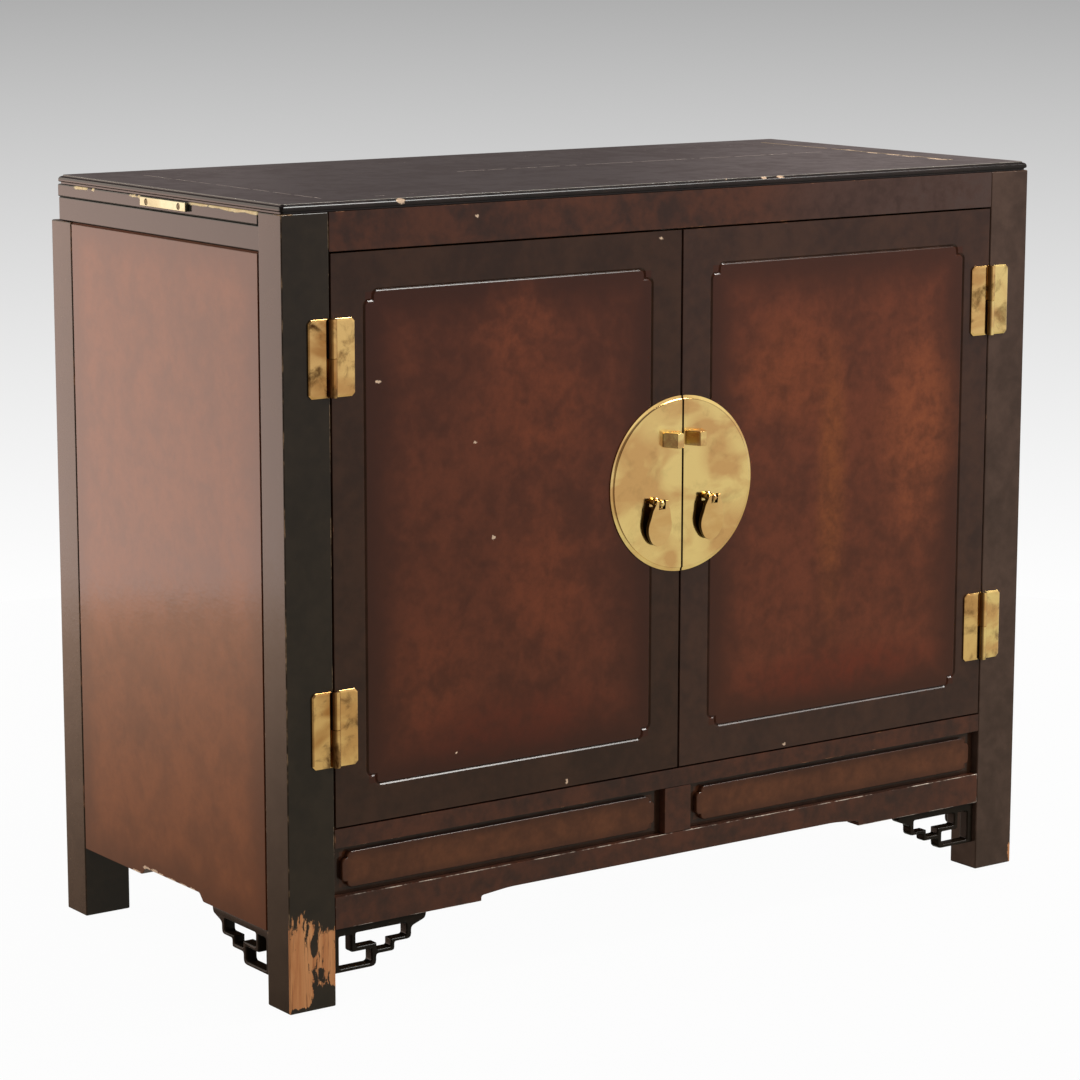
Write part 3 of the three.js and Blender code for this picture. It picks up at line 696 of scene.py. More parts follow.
def brass(name, scale, stains, shift, dents=0.08, dark=None, tone="bright", satin=0.0, clouds=(),
          stain="stain"):
    # dark gives the places painted darker: painted shade on flanks and backs, and the rings round
    # the screws;
    # clouds gives the lighter (above 0) and warmer (below 0) ones
    def make(piece):
        s = brassLooks
        material, tree, shader = newMaterial(name + "_" + piece.name)
        cloud = placeGroup(tree, tarnish, {"Scale": scale, "Shift": shift})
        light, warm = map(tint, brassTones[tone])
        patch = cloud["Patch"]
        for x, z, size, amount in clouds:
            mask = maskAt(tree, spot, (x, s["cloudFace"], z), (size, s["cloudDeep"], size))
            patch = plus(tree, patch, times(tree, mask, amount), clamp=True)
        # real stains, joined below by the painted shade that dark gives
        stainAndShade = times(tree, cloud["Stain"], stains, clamp=True)
        if dark:
            stainAndShade = largest(tree, stainAndShade, dark(tree, piece))
        rough = ramp(tree, cloud["Fine"], *s["fine"])
        rough = plus(tree, rough, times(tree, stainAndShade, s["stainAndShadeRough"]), satin, clamp=True)
        feed(tree, shader["Base Color"], blend(
            tree, stainAndShade, blend(tree, patch, warm, light), s[stain]))
        feed(tree, shader["Roughness"], rough)
        feed(tree, shader["Normal"], bump(tree, cloud["Fine"], dents, s["dentDeep"]))
        shader["Metallic"].default_value = 1.0
        return material
    return make


plainLooks = {
    "scale": 70.0, "pores": 0.5, "roughness": (0.75, 0.6), "relief": -0.3,
    "reliefDeep": 0.2 * mm, "specular": 0.25,
}


def plainWood(stretch):  # the pattern is squeezed along its streaks
    def make(piece):
        s = plainLooks
        material, tree, shader = newMaterial("plainWood_" + piece.name)
        streaks = placeGroup(tree, grain, {"Stretch": stretch, "Scale": s["scale"]})
        feed(tree, shader["Base Color"], woodColour(tree, streaks, "plain", s["pores"]))
        feed(tree, shader["Roughness"], ramp(tree, streaks["Grain"], 0.0, 1.0, *s["roughness"]))
        feed(tree, shader["Normal"], bump(tree, streaks["Pores"], s["relief"], s["reliefDeep"]))
        shader["Specular IOR Level"].default_value = s["specular"]
        return material
    return make


steelLooks = {
    "dark": tint("#77726b"), "light": tint("#9b9893"), "scale": 90.0, "shift": (0.1, 0.2, 0.3),
    "fine": (0.3, 0.7, 0.3, 0.5),  # from and to in the pattern, roughness from and to
}


def steel(piece):
    s = steelLooks
    material, tree, shader = newMaterial("steel_" + piece.name)
    fine = placeGroup(tree, tarnish, {"Scale": s["scale"], "Shift": s["shift"]})
    feed(tree, shader["Base Color"], blend(tree, fine["Patch"], s["dark"], s["light"]))
    feed(tree, shader["Roughness"], ramp(tree, fine["Fine"], *s["fine"]))
    shader["Metallic"].default_value = 1.0
    return material


print("materials ready")


# The top: a rounded rectangle drawn up through the levels of its moulded edge
topSlab = {
    "corner": 4 * mm, "cornerSteps": 6,
    # [set in from the widest line, height above the underside], in millimetres
    "edge": [(2.1, 0), (2.1, 1.7), (0.5, 2.1), (0.1, 2.7), (0, 3.4), (0, 4.6), (0.15, 5.4),
             (0.45, 6.2), (0.95, 6.95), (1.6, 7.5), (2.4, 7.9), (3.2, 8.1), (3.8, 8.2),
             (3.8, 9.1), (4.2, 9.5)],
}

topLooks = {
    "deep": tint("#120e0d"), "glow": tint("#231917"), "scratch": tint("#6b605a"),
    "line": tint("#9d9087"), "rub": tint("#a08a6c"), "arris": tint("#938d84"),
    "cloudScale": 9.0, "shift": (0.2, 0.1, 0.0), "density": 0.4,
    "roughness": 0.12, "unevenness": 0.08, "dulled": 0.35,
    "scratchDull": 0.5, "scratchDeep": -0.4, "reliefDeep": 0.2 * mm, "lineEnd": 4 * mm,
    "wearReach": 1.2 * mm, "wear": 0.3, "wearScale": 22.0, "rubShare": 0.7,
    "arrisIn": (5.2, 4.4), "arrisDown": (-0.7, -0.4),  # where it shows, in millimetres
    # what breaks the arris and the lines: the pattern, and from and to where in it they show
    "ragged": (60.0, 4.0, 0.65), "arrisBroken": (0.25, 0.5, 0.4, 0.85),
    "lineBroken": (0.62, 0.72), "lineWhole": 0.3, "lineCore": 0.4,
}

topLines = [  # scribed: axis that it keeps to, place, start, end, half width, strength, colour
    (0, -430, -190, 178, 1.6, 0.85, "line"), (0, 450, -164, 190, 2.6, 1.0, "rub"),
    (1, 166, -430, 450, 1.4, 0.4, "line"), (1, 22, -122, 409, 2.6, 0.8, "line"),
    (1, -196, -470, -250, 2.0, 0.4, "line"),
]

topChips = [  # along the front edge and the worn line at the right: place, half size
    ((114, -228, 837), (4, 4, 2)), ((137, -228, 837), (5, 4, 2)), ((62, -227, 838), (2, 3, 1)),
    ((-361, -229, 835), (6, 4, 4)), ((446, -25, 838), (4, 10, 2)), ((446, -62, 838), (4, 15, 2)),
    ((442, -94, 838), (3, 15, 2)), ((442, -144, 838), (5, 19, 2)), ((453, 26, 838), (3, 12, 2)),
]


def topLacquer(piece):
    s = topLooks
    material, tree, shader = newMaterial("topLacquer")
    high = boxOf(piece)[1]
    cloud = placeGroup(tree, mottle, {"Scale": s["cloudScale"], "Shift": s["shift"]})["Cloud"]
    marks = placeGroup(tree, scratches, {"Density": s["density"]})["Mask"]
    place = coordinates(tree)
    parts = parted(tree, place)
    ragged = noise(tree, place, *s["ragged"])
    colour = blend(tree, marks, blend(tree, cloud, s["deep"], s["glow"]), s["scratch"])
    coat = (colour, times(tree, marks, s["scratchDeep"]), times(tree, marks, s["scratchDull"]))
    for axis, at, start, end, width, strength, hue in topLines:
        start, end, width = start * mm, end * mm, width * mm
        away = absolute(tree, minus(tree, parts[axis], at * mm))
        line = ramp(tree, away, width, width * s["lineCore"])
        within = times(tree, ramp(tree, parts[1 - axis], start, start + s["lineEnd"]),
                       ramp(tree, parts[1 - axis], end, end - s["lineEnd"]))
        whole = s["lineWhole"] * strength
        broken = ramp(tree, ragged, *(level - whole for level in s["lineBroken"]))
        mask = times(tree, line, within, broken, strength, clamp=True)
        coat = takeOff(tree, coat, mask, s[hue])
    for place, half in topChips:
        coat = takeOff(tree, coat, maskAt(tree, chip, place, half), polish["chip"])
    colour, height, dull = coat
    edge = ownEdge(tree, piece)
    worn = placeGroup(tree, edgeWear, {
        "Edge": edge, "Reach": s["wearReach"], "Amount": s["wear"], "Scale": s["wearScale"]})
    colour = blend(tree, times(tree, worn["Mask"], s["rubShare"]), colour, s["rub"])
    # a pale broken line along the top arris: wear and a painted highlight
    rim = times(tree, band(tree, edge, 0, *s["arrisIn"]),
                band(tree, parts[2], high.z, *s["arrisDown"]),
                ramp(tree, ragged, *s["arrisBroken"]))
    colour = blend(tree, rim, colour, s["arris"])
    rough = ramp(tree, cloud, 0.0, 1.0, s["roughness"], s["roughness"] + s["unevenness"])
    rough = plus(tree, rough, times(tree, dull, s["dulled"]), clamp=True)
    finishCoat(tree, shader, colour, rough, height, s["reliefDeep"])
    shader["IOR"].default_value = polish["ior"]
    return material


def makeTop():
    low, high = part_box("top")
    middle, size = (low + high) / 2, high - low
    steps = [(inset * mm, up * mm) for inset, up in topSlab["edge"]]
    inset = steps[0][0]
    deselectAll()
    bpy.ops.mesh.primitive_plane_add(size=1, location=(middle.x, middle.y, low.z))
    piece = named(bpy.context.object, "top")
    piece.scale = (size.x - 2 * inset, size.y - 2 * inset, 1)
    settle(piece)
    openEdit(piece, "VERT", everything=True)
    bpy.ops.mesh.bevel(
        offset=topSlab["corner"], segments=topSlab["cornerSteps"], affect="VERTICES")
    bpy.ops.mesh.select_mode(type="FACE")
    bpy.ops.mesh.select_all(action="SELECT")
    for (before, fromUp), (after, toUp) in zip(steps, steps[1:]):
        bpy.ops.mesh.extrude_region_move(TRANSFORM_OT_translate={"value": (0, 0, toUp - fromUp)})
        bpy.ops.transform.resize(
            value=((size.x - 2 * after) / (size.x - 2 * before),
                   (size.y - 2 * after) / (size.y - 2 * before), 1),
            center_override=(middle.x, middle.y, low.z + toUp))
    closeEdit()
    faceOut(piece)
    fit(piece, "top", topLacquer, angle=50)


makeTop()
print("top made")


# The frame: posts, rails, aprons and side panels
edges = {"post": 1.6 * mm, "rail": 0.8 * mm, "board": 0.8 * mm, "leaf": 1.6 * mm}

legWear = {  # the patch's height; elsewhere from and to where, in millimetres, and how much
    "high": 132, "front": (2.5, 1.2), "streaky": (20, 32, 0.24), "right": (26, 36),
    "rightLow": (28, 12, 0.7), "foot": (12, 2, 0.55), "stretch": (1.0, 1.0, 0.3),
    # islands of lacquer: to the right, up, half width, half height, how much
    "bays": [(29, 68, 6, 15, 0.6), (37, 38, 3.6, 9, 0.5)], "bayDeep": 20,
    # the right-hand post's patch reaches in from its outer edge, up to the first height
    "reach": 7 * mm, "soft": 0.3 * mm, "rightPost": (120, 40),
    # the patterns that make the rims ragged: scale, detail, roughness, distortion
    "leftRagged": (72.0, 6.0, 0.72, 0.2), "rightRagged": (90.0, 4.0, 0.65),
    "rightReach": (0.42, 0.66),
    # how the patch thins out upwards, and where it ends
    "full": 1.5, "fade": 0.9, "fadePower": 2.4, "raggedLeast": 0.1, "rim": (0.62, 0.65),
}


def legBare(tree, piece):  # lacquer gone from the foot of the front-left post's front
    s = legWear
    low = boxOf(piece)[0]
    place = coordinates(tree)
    x, y, z = parted(tree, place)
    squeezed = vectorMaths(tree, "MULTIPLY", place, s["stretch"])
    ragged = noise(tree, squeezed, *s["leftRagged"])
    right = times(tree, band(tree, x, low.x, *s["right"]), band(tree, z, low.z, *s["rightLow"]))
    lost = plus(tree, right, band(tree, x, low.x, *s["streaky"]),
                band(tree, z, low.z, *s["foot"]))
    for across, up, wide, high, amount in s["bays"]:
        bay = maskAt(tree, spot, low / mm + Vector((across, 0, up)), (wide, s["bayDeep"], high))
        lost = plus(tree, lost, times(tree, bay, amount))
    up = maths(tree, "DIVIDE", minus(tree, z, low.z), s["high"] * mm)
    fading = times(tree, maths(tree, "POWER", up, s["fadePower"]), s["fade"])
    strength = minus(tree, s["full"], fading, lost)
    mask = ramp(tree, times(tree, strength, plus(tree, ragged, s["raggedLeast"])), *s["rim"])
    return times(tree, mask, band(tree, y, low.y, *s["front"]), clamp=True)


def rightLegBare(tree, piece):  # the front-right post's outer edge is worn near the floor
    s = legWear
    low, high = boxOf(piece)
    place = coordinates(tree)
    x, _, z = parted(tree, place)
    squeezed = vectorMaths(tree, "MULTIPLY", place, s["stretch"])
    ragged = noise(tree, squeezed, *s["rightRagged"])
    reach = times(tree, ramp(tree, ragged, *s["rightReach"]), s["reach"])
    edge = ramp(tree, minus(tree, high.x, x, reach), s["soft"], -s["soft"])
    return times(tree, edge, band(tree, z, low.z, *s["rightPost"]), clamp=True)


rails = {  # spots: place, half size, amount, colour; chips: place, half size
    "front_rail": {  # darker and cooler towards the right
        "spots": [((400, -231, 806), (330, 50, 120), 1.0, "#46352f"),
                  ((250, -231, 806), (170, 50, 120), 0.5, "#46322b")],
        "chips": [((-268, -231, 815), (2.2, 3, 1.6))]},
    "apron_top_rail": {}, "apron_stile": {},
}


def makeFrame():
    for node in ("front_post_right", "rear_post_right"):
        post = roundEdges(plank(node, *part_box(node)), edges["post"], segments=3)
        other = mirrored(post, node)
        isFront = node.startswith("front")
        fit(post, node, lacquer("rightPost", bare=rightLegBare if isFront else None))
        fit(other, node.replace("right", "left"),
            lacquer("post", bare=legBare) if isFront else lacquer("rearPost"))
    for node, marks in rails.items():
        rail = roundEdges(plank(node, *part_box(node)), edges["rail"])
        fit(rail, node, lacquer("rail", **marks))
    print("posts and rails made")


sideRail = {"chamfer": 0.9 * mm, "upper": 1.6 * mm, "edge": 0.4 * mm}


def makeSideRail():
    s = sideRail
    low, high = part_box("side_rail_right")
    rail = plank("side_rail_right", low, high)
    for level, size, steps in ((low.z, s["chamfer"], 1), (high.z, s["upper"], 3)):
        openEdit(rail, "EDGE")
        pickEdges(rail, lambda a, b: min(a.x, b.x) > high.x - mm
                  and max(abs(a.z - level), abs(b.z - level)) < mm)
        bpy.ops.mesh.bevel(offset=size, segments=steps, affect="EDGES")
        closeEdit()
    roundEdges(rail, s["edge"], angle=32)
    fitPair(rail, "side_rail", lacquer("leaf"))


apronFoot = {  # in millimetres
    "archHalf": 264, "step": 6, "run": 36, "rise": 9.4, "stepRound": 3, "runRound": 9,
}


def makeApronFoot():
    s = apronFoot
    low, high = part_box("apron_foot_rail")
    z0, z1, half = low.z / mm, high.z / mm, high.x / mm
    right = [(half, z0, 0), (s["archHalf"], z0, 0),
             (s["archHalf"], z0 + s["step"], s["stepRound"]),
             (s["archHalf"] - s["run"], z0 + s["rise"], s["runRound"])]
    outline = right + [(-x, z, r) for x, z, r in reversed(right)] + [(-half, z1, 0), (half, z1, 0)]
    rail = trace("apron_foot_rail", [(p.x * mm, low.y, p.y * mm) for p in eased(outline)])
    thicken(rail, (0, high.y - low.y, 0))
    roundEdges(rail, edges["rail"], angle=40)
    fit(rail, "apron_foot_rail", lacquer("apronFoot"))


apronPanel = {
    "side": 11 * mm, "lowerEnd": 6.5 * mm, "upperEnd": 6.2 * mm, "step": 6.6 * mm,
    "radius": 5.2 * mm, "rise": 6 * mm, "rim": 1.5 * mm,
    "glowReach": 12 * mm, "glowFloor": 0.5, "border": ("#2b1c14", "#3d281c"),
}


def makeApronPanels():
    s = apronPanel
    low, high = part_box("apron_panel_right")
    face = low.y
    back = plank("apron_panel_right", (low.x, face + s["rise"], low.z), high)
    shape = stepped(low.x + s["side"], high.x - s["side"], low.z + s["lowerEnd"],
                    high.z - s["upperEnd"], s["step"], s["radius"])
    raised = trace("cartouche", [(x, face, z) for x, z in shape])
    thicken(raised, (0, s["rise"] + mm, 0))
    openEdit(raised)
    pickFacing(raised, 1, -1)
    bpy.ops.mesh.bevel(offset=s["rim"], segments=3, affect="EDGES")
    closeEdit()
    combine(back, raised, "UNION")
    half = ((high.x - low.x) / 2 - s["side"], beyond, (high.z - low.z) / 2 - s["lowerEnd"])
    fitPair(back, "apron_panel", lacquer(
        "apron", centre=(low + high) / 2, half=half, glowReach=s["glowReach"],
        glowFloor=s["glowFloor"], border=s["border"]), angle=30)


sidePanel = {
    # the arch in its foot, in millimetres: how far its middle is behind the cabinet's, how long
    # it is, and the run, rise and rounding of its ends
    "archBehind": 10, "archLong": 124, "archRun": 8, "archRise": 8.5, "archRound": 2,
    "groove": 1.8 * mm, "grooveDeep": 3 * mm, "chamfer": 2.2 * mm,  # along the upper edge
    "edge": 0.7 * mm, "glowReach": 45 * mm, "glowFloor": 0.25,
}

sideChips = [  # along the lower edge, on both faces of both panels: place, half size
    ((side * 504, y, z), (6, wide, high))
    for side in (-1, 1)
    for y, z, wide, high in ((66, 92, 9, 2.0), (48, 92.6, 8, 2.6), (34, 92, 7, 1.8),
                             (12, 91.8, 11, 1.5), (-14, 91.8, 9, 1.3), (-34, 91.8, 7, 1.5),
                             (88, 84, 10, 1.2))
]


def makeSidePanels():
    s = sidePanel
    low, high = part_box("side_panel_right")
    z0, z1 = low.z / mm, high.z / mm
    back, front = (s["archBehind"] + way * s["archLong"] / 2 for way in (1, -1))
    run, rise, r = s["archRun"] / 2, s["archRise"], s["archRound"]
    outline = [
        (low.y / mm, z0, 0), (front - run, z0, r), (front + run, z0 + rise, r),
        (back - run, z0 + rise, r), (back + run, z0, r), (high.y / mm, z0, 0),
        (high.y / mm, z1, 0), (low.y / mm, z1, 0)]
    panel = trace("side_panel_right", [(low.x, p.x * mm, p.y * mm) for p in eased(outline)])
    thicken(panel, (high.x - low.x, 0, 0))
    for y0, y1 in ((low.y - mm, low.y + s["groove"]), (high.y - s["groove"], high.y + mm)):
        groove = plank("groove", (high.x - s["grooveDeep"], y0, low.z - mm),
                       (high.x + mm, y1, high.z + mm))
        combine(panel, groove, "DIFFERENCE")
    openEdit(panel, "EDGE")
    pickEdges(panel, lambda a, b: min(a.x, b.x) > high.x - mm and min(a.z, b.z) > high.z - mm)
    bpy.ops.mesh.bevel(offset=s["chamfer"], affect="EDGES")
    closeEdit()
    roundEdges(panel, s["edge"], angle=40)
    fitPair(panel, "side_panel", lacquer(
        "side", centre=(low + high) / 2,
        half=(beyond, (high.y - low.y) / 2, (high.z - low.z) / 2),
        glowReach=s["glowReach"], glowFloor=s["glowFloor"], chips=sideChips))
    print("side panels made")


makeFrame()
makeSideRail()
makeApronFoot()
makeApronPanels()
makeSidePanels()


# The draw leaves, with the brass bar that a finger pulls
leafPlan = {  # the outer end is as deep as the top, and the rest stops short of the back
    "shoulder": 60 * mm, "notch": 16.6 * mm,
}

leafWear = {  # from and to where, in millimetres: in from the end, down, and along the leaf
    "outer": (2.5, 1.0), "upper": (6.5, 4.5), "near": (-46, -58), "nearRagged": (0.34, 0.4),
    "far": [(50, 88), (150, 200)], "farRagged": (0.44, 0.5), "starts": 4, "ends": 8,
    "ragged": (48.0, 4.0, 0.6),  # the pattern: scale, detail, roughness
}


def leafBare(tree, piece):  # a worn line along the leaf's outer upper edge
    s = leafWear
    low, high = boxOf(piece)
    place = coordinates(tree)
    x, y, z = parted(tree, place)
    ragged = noise(tree, place, *s["ragged"])
    end = low.x if low.x + high.x < 0 else high.x
    outer = band(tree, absolute(tree, minus(tree, x, end)), 0, *s["outer"])
    upper = ramp(tree, minus(tree, high.z, z), *(
        times(tree, ragged, down * mm) for down in s["upper"]))
    along = times(tree, band(tree, y, 0, *s["near"]), ramp(tree, ragged, *s["nearRagged"]))
    for first, last in s["far"]:
        far = times(tree, band(tree, y, 0, first, first + s["starts"]),
                    band(tree, y, 0, last, last - s["ends"]))
        along = plus(tree, along, times(tree, far, ramp(tree, ragged, *s["farRagged"])))
    return times(tree, outer, upper, along, clamp=True)


def makeLeaves():
    low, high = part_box("leaf_right")
    shoulder = high.x - leafPlan["shoulder"]
    inner = high.y - leafPlan["notch"]
    plan = [(low.x, low.y), (high.x, low.y), (high.x, high.y), (shoulder, high.y),
            (shoulder, inner), (low.x, inner)]
    leaf = trace("leaf_right", [(x, y, low.z) for x, y in plan])
    thicken(leaf, (0, 0, high.z - low.z))
    roundEdges(leaf, edges["leaf"], segments=3)
    fitPair(leaf, "leaf", lacquer("leaf", bare=leafBare, tone="leaf"))


leafPull = {
    "edge": 0.7 * mm, "screwAt": 33.7 * mm, "screwRadius": 2.9 * mm, "ring": 0.7 * mm,
    "seatDeep": 1.2 * mm, "headDeep": 2 * mm, "headSunk": 0.25 * mm, "headEdge": 0.5 * mm,
    "slot": 0.8 * mm, "slotDeep": 0.9 * mm, "slotHalf": 4 * mm,
    "dark": (20, 4.6, 4.6), "darkness": 0.75,  # half size of the dark rings, in millimetres
}


def screwDark(tree, piece):  # the two screw heads and the rings round them
    s = leafPull
    low, high = boxOf(piece)
    rings = []
    for side in (-1, 1):
        place = (low + high) / 2 + Vector((0, side * s["screwAt"], 0))
        rings.append(maskAt(tree, spot, place / mm, s["dark"]))
    return times(tree, largest(tree, *rings), s["darkness"])


def makeLeafPulls():
    s = leafPull
    low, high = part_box("leaf_pull_right")
    bar = roundEdges(plank("leaf_pull_right", low, high), s["edge"])
    z, face = (low.z + high.z) / 2, high.x
    for side in (-1, 1):
        y = (low.y + high.y) / 2 + side * s["screwAt"]
        seat = rod("seat", s["screwRadius"] + s["ring"], (face - s["seatDeep"], y, z),
                   (face + mm, y, z))
        combine(bar, seat, "DIFFERENCE")
        head = rod("head", s["screwRadius"], (face - s["headDeep"], y, z),
                   (face - s["headSunk"], y, z))
        roundEdges(head, s["headEdge"])
        slot = plank("slot", (face - s["slotDeep"], y - s["slot"] / 2, z - s["slotHalf"]),
                     (face + mm, y + s["slot"] / 2, z + s["slotHalf"]))
        combine(head, slot, "DIFFERENCE")
        combine(bar, head, "UNION")
    fitPair(bar, "leaf_pull", brass(
        "brassBar", scale=30.0, stains=0.1, shift=(0.3, 0.1, 0.7), tone="dull", satin=0.2,
        dark=screwDark), angle=30)
    print("leaves made")


makeLeaves()
makeLeafPulls()


# The doors, each with a V groove that steps in at the corners
door = {
    "margin": 39.2 * mm, "groove": 3.4 * mm, "deep": 1.7 * mm, "step": 10.4 * mm,
    "radius": 6 * mm, "edge": 0.5 * mm, "glowReach": 60 * mm, "glowFloor": 0.05,
}

doorLooks = {
    # spots are warmer patches under the lacquer: place, half size, amount, colour;
    # chips are small ones in it: place, half size
    "left": {
        "border": ("#2e1d14", "#3c261a"),
        "spots": [((-190, -231, 600), (110, 50, 90), 0.25, "#874223"),
                  ((-215, -231, 700), (70, 50, 70), 0.45, "#8a4628"),
                  ((-180, -231, 420), (90, 50, 130), 0.22, "#874223"),
                  ((-330, -231, 330), (80, 50, 90), 0.2, "#874223"),
                  ((-225, -231, 275), (200, 50, 50), 0.4, "#571c0c")],
        "chips": [((-391, -231, 653), (4.5, 3, 1.6)), ((-271, -231, 580), (2.6, 3, 1.3)),
                  ((-248, -231, 477), (2.6, 3, 2.4)), ((-29, -231, 779), (2.8, 3, 1.6)),
                  ((-152, -231, 200), (1.6, 3, 3.2)), ((-296, -231, 252), (1.4, 3, 1.4))]},
    "right": {
        "border": ("#32211a", "#422b20"),
        "spots": [((215, -231, 490), (30, 50, 210), 0.42, "#8f4f22"),
                  ((150, -231, 620), (110, 50, 90), 0.28, "#8c4824"),
                  ((345, -231, 540), (80, 50, 170), 0.5, "#8f4c29"),
                  ((225, -231, 275), (200, 50, 40), 0.5, "#65220f")],
        "chips": [((151, -231, 198), (2.4, 3, 1.4))]},
}


def grooveCutter(low, high):
    s = door
    half = s["groove"] / 2
    outer = stepped(low.x + s["margin"], high.x - s["margin"], low.z + s["margin"],
                    high.z - s["margin"], s["step"], s["radius"], half)
    ring = trace("groove", [(x, low.y, z) for x, z in outer])
    openEdit(ring, everything=True)
    bpy.ops.mesh.inset(thickness=half, depth=0)
    bpy.ops.mesh.inset(thickness=half, depth=0)
    bpy.ops.mesh.delete(type="ONLY_FACE")
    bpy.ops.mesh.select_mode(type="VERT")
    bpy.ops.mesh.select_all(action="DESELECT")
    pick(ring, "verts", lambda vertex: not vertex.is_boundary)
    bpy.ops.transform.translate(value=(0, s["deep"], 0))
    bpy.ops.mesh.select_mode(type="EDGE")
    bpy.ops.mesh.select_all(action="DESELECT")
    pick(ring, "edges", lambda edge: edge.is_boundary)
    bpy.ops.mesh.extrude_region_move(TRANSFORM_OT_translate={"value": (0, -mm, 0)})
    bpy.ops.mesh.bridge_edge_loops()
    closeEdit()
    faceOut(ring)
    return ring


def makeDoors():
    s = door
    low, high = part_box("door_right")
    slab = plank("door_right", low, high)
    combine(slab, grooveCutter(low, high), "DIFFERENCE")
    roundEdges(slab, s["edge"], angle=25)
    inset = s["margin"] + s["groove"] / 2
    half = ((high.x - low.x) / 2 - inset, beyond, (high.z - low.z) / 2 - inset)
    other = mirrored(slab, "door_left")
    for piece, side in ((slab, "right"), (other, "left")):
        fit(piece, "door_" + side, lacquer(
            side + "Door", centre=(low + high) / 2, half=half, glowReach=s["glowReach"],
            glowFloor=s["glowFloor"], **doorLooks[side]), angle=30)
    print("doors made")


makeDoors()


# The hinges: bevelled plates with clipped corners on a barrel of two knuckles
hinge = {
    "high": 80 * mm, "wide": 27.7 * mm, "thick": 2.2 * mm, "clip": 3.6 * mm,
    "rim": 2.2 * mm, "rimDrop": 0.9 * mm, "barrel": 4.1 * mm, "gap": 0.4 * mm,
    "pin": 2.0 * mm, "pinDown": 30 * mm, "bore": 2.3 * mm, "x": 447.1 * mm, "y": -235.4 * mm,
    "plateEdge": 0.25 * mm, "knuckleEdge": 0.5 * mm, "pinEdge": 0.3 * mm, "tongueShare": 0.8,
    "barrelSoft": 0.3 * mm,  # how softly the painted shade on the barrel ends
    # how much painted shade the brass gets from one facing to another; the lug and the drop have
    # theirs
    "flank": (-0.6, -0.82, 0.0, 0.85),
    "stains": {"post_right": 0.6, "post_left": 1.0, "door": 0.8},
    "shifts": {"upper": (0.13, 0.4, 0.21), "lower": (0.61, 0.2, 0.83)},
}


def hingeLeaf(name, reach, ownsUpper, z):  # reach is 1 towards the post and -1 towards the door
    s = hinge
    axisX, axisY = s["x"], s["y"]
    outer = axisX + reach * s["wide"]
    clear = axisX + reach * (s["barrel"] + s["gap"])
    face = axisY + s["barrel"]
    low, high = z - s["high"] / 2, z + s["high"] / 2
    clipX = outer - reach * s["clip"]
    shape = [(clear, low), (clipX, low), (outer, low + s["clip"]), (outer, high - s["clip"]),
             (clipX, high), (clear, high)]
    plate = trace(name, [(x, face, z) for x, z in shape])
    thicken(plate, (0, s["rimDrop"] - s["thick"], 0))
    openEdit(plate)
    pickFacing(plate, 1, -1)
    bpy.ops.mesh.inset(thickness=s["rim"], depth=s["rimDrop"])
    closeEdit()
    roundEdges(plate, s["plateEdge"], angle=15)
    split = z + (s["gap"] / 2 if ownsUpper else -s["gap"] / 2)
    start, end = (split, high) if ownsUpper else (low, split)
    tongue = plank("tongue", (min(clear, axisX), face - s["thick"] * s["tongueShare"], start),
                   (max(clear, axisX), face, end))
    combine(plate, tongue, "UNION")
    knuckle = rod("knuckle", s["barrel"], (axisX, axisY, start), (axisX, axisY, end))
    return combine(plate, roundEdges(knuckle, s["knuckleEdge"]), "UNION")


def hingeShade(tree, piece):  # painted shade, brown, on the barrel's left flank
    facing = parted(tree, coordinates(tree, "Normal"))[0]
    x = absolute(tree, parted(tree, coordinates(tree))[0])
    away = absolute(tree, minus(tree, x, hinge["x"]))
    barrel = ramp(tree, away, hinge["barrel"] + hinge["barrelSoft"], hinge["barrel"])
    return times(tree, barrel, ramp(tree, facing, *hinge["flank"]))


def makeHinges():
    s = hinge
    for level, shift in s["shifts"].items():
        node = "hinge_post_leaf_" + level
        low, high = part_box(node + "_right")
        x, y, z = s["x"], s["y"], (low.z + high.z) / 2
        postLeaf = hingeLeaf("postLeaf", 1, False, z)
        pin = rod("pin", s["pin"], (x, y, z - s["pinDown"]), (x, y, high.z), sides=24)
        combine(postLeaf, roundEdges(pin, s["pinEdge"]), "UNION")
        doorLeaf = hingeLeaf("doorLeaf", -1, True, z)
        bore = rod("bore", s["bore"], (x, y, z - mm), (x, y, high.z + mm), sides=24)
        combine(doorLeaf, bore, "DIFFERENCE")

        def hingeBrass(stains, tone):
            return brass("brassHinge", 30.0, stains, shift, dents=0.04, dark=hingeShade,
                         tone=tone)
        other = mirrored(postLeaf, node)
        fit(postLeaf, node + "_right", hingeBrass(s["stains"]["post_right"], "bright"),
            angle=25)
        fit(other, node + "_left", hingeBrass(s["stains"]["post_left"], "aged"), angle=25)
        fitPair(doorLeaf, "hinge_door_leaf_" + level,
                hingeBrass(s["stains"]["door"], "rubbed"), angle=25)
    print("hinges made")


makeHinges()


# The round medallion in two halves, with its lugs, studs and drop pulls
medallion = {
    "radius": 96.5 * mm, "thick": 3 * mm, "rim": 4.2 * mm, "rimDrop": 2 * mm, "rimSteps": 4,
    "z": 511 * mm, "back": -231.3 * mm,
    "clouds": [  # x, z, half size, amount, in millimetres
        (-41, 581, 34, 0.7), (-10, 525, 24, 0.8), (16, 518, 26, 0.8), (79, 489, 30, 0.7),
        (-47, 438, 30, 0.8), (-7, 463, 24, 0.8), (-58, 525, 42, -0.45), (25, 572, 28, -0.7),
        (50, 538, 34, -0.8), (-14, 428, 14, -0.9), (52, 446, 34, -0.5), (-80, 500, 26, -0.4)],
}


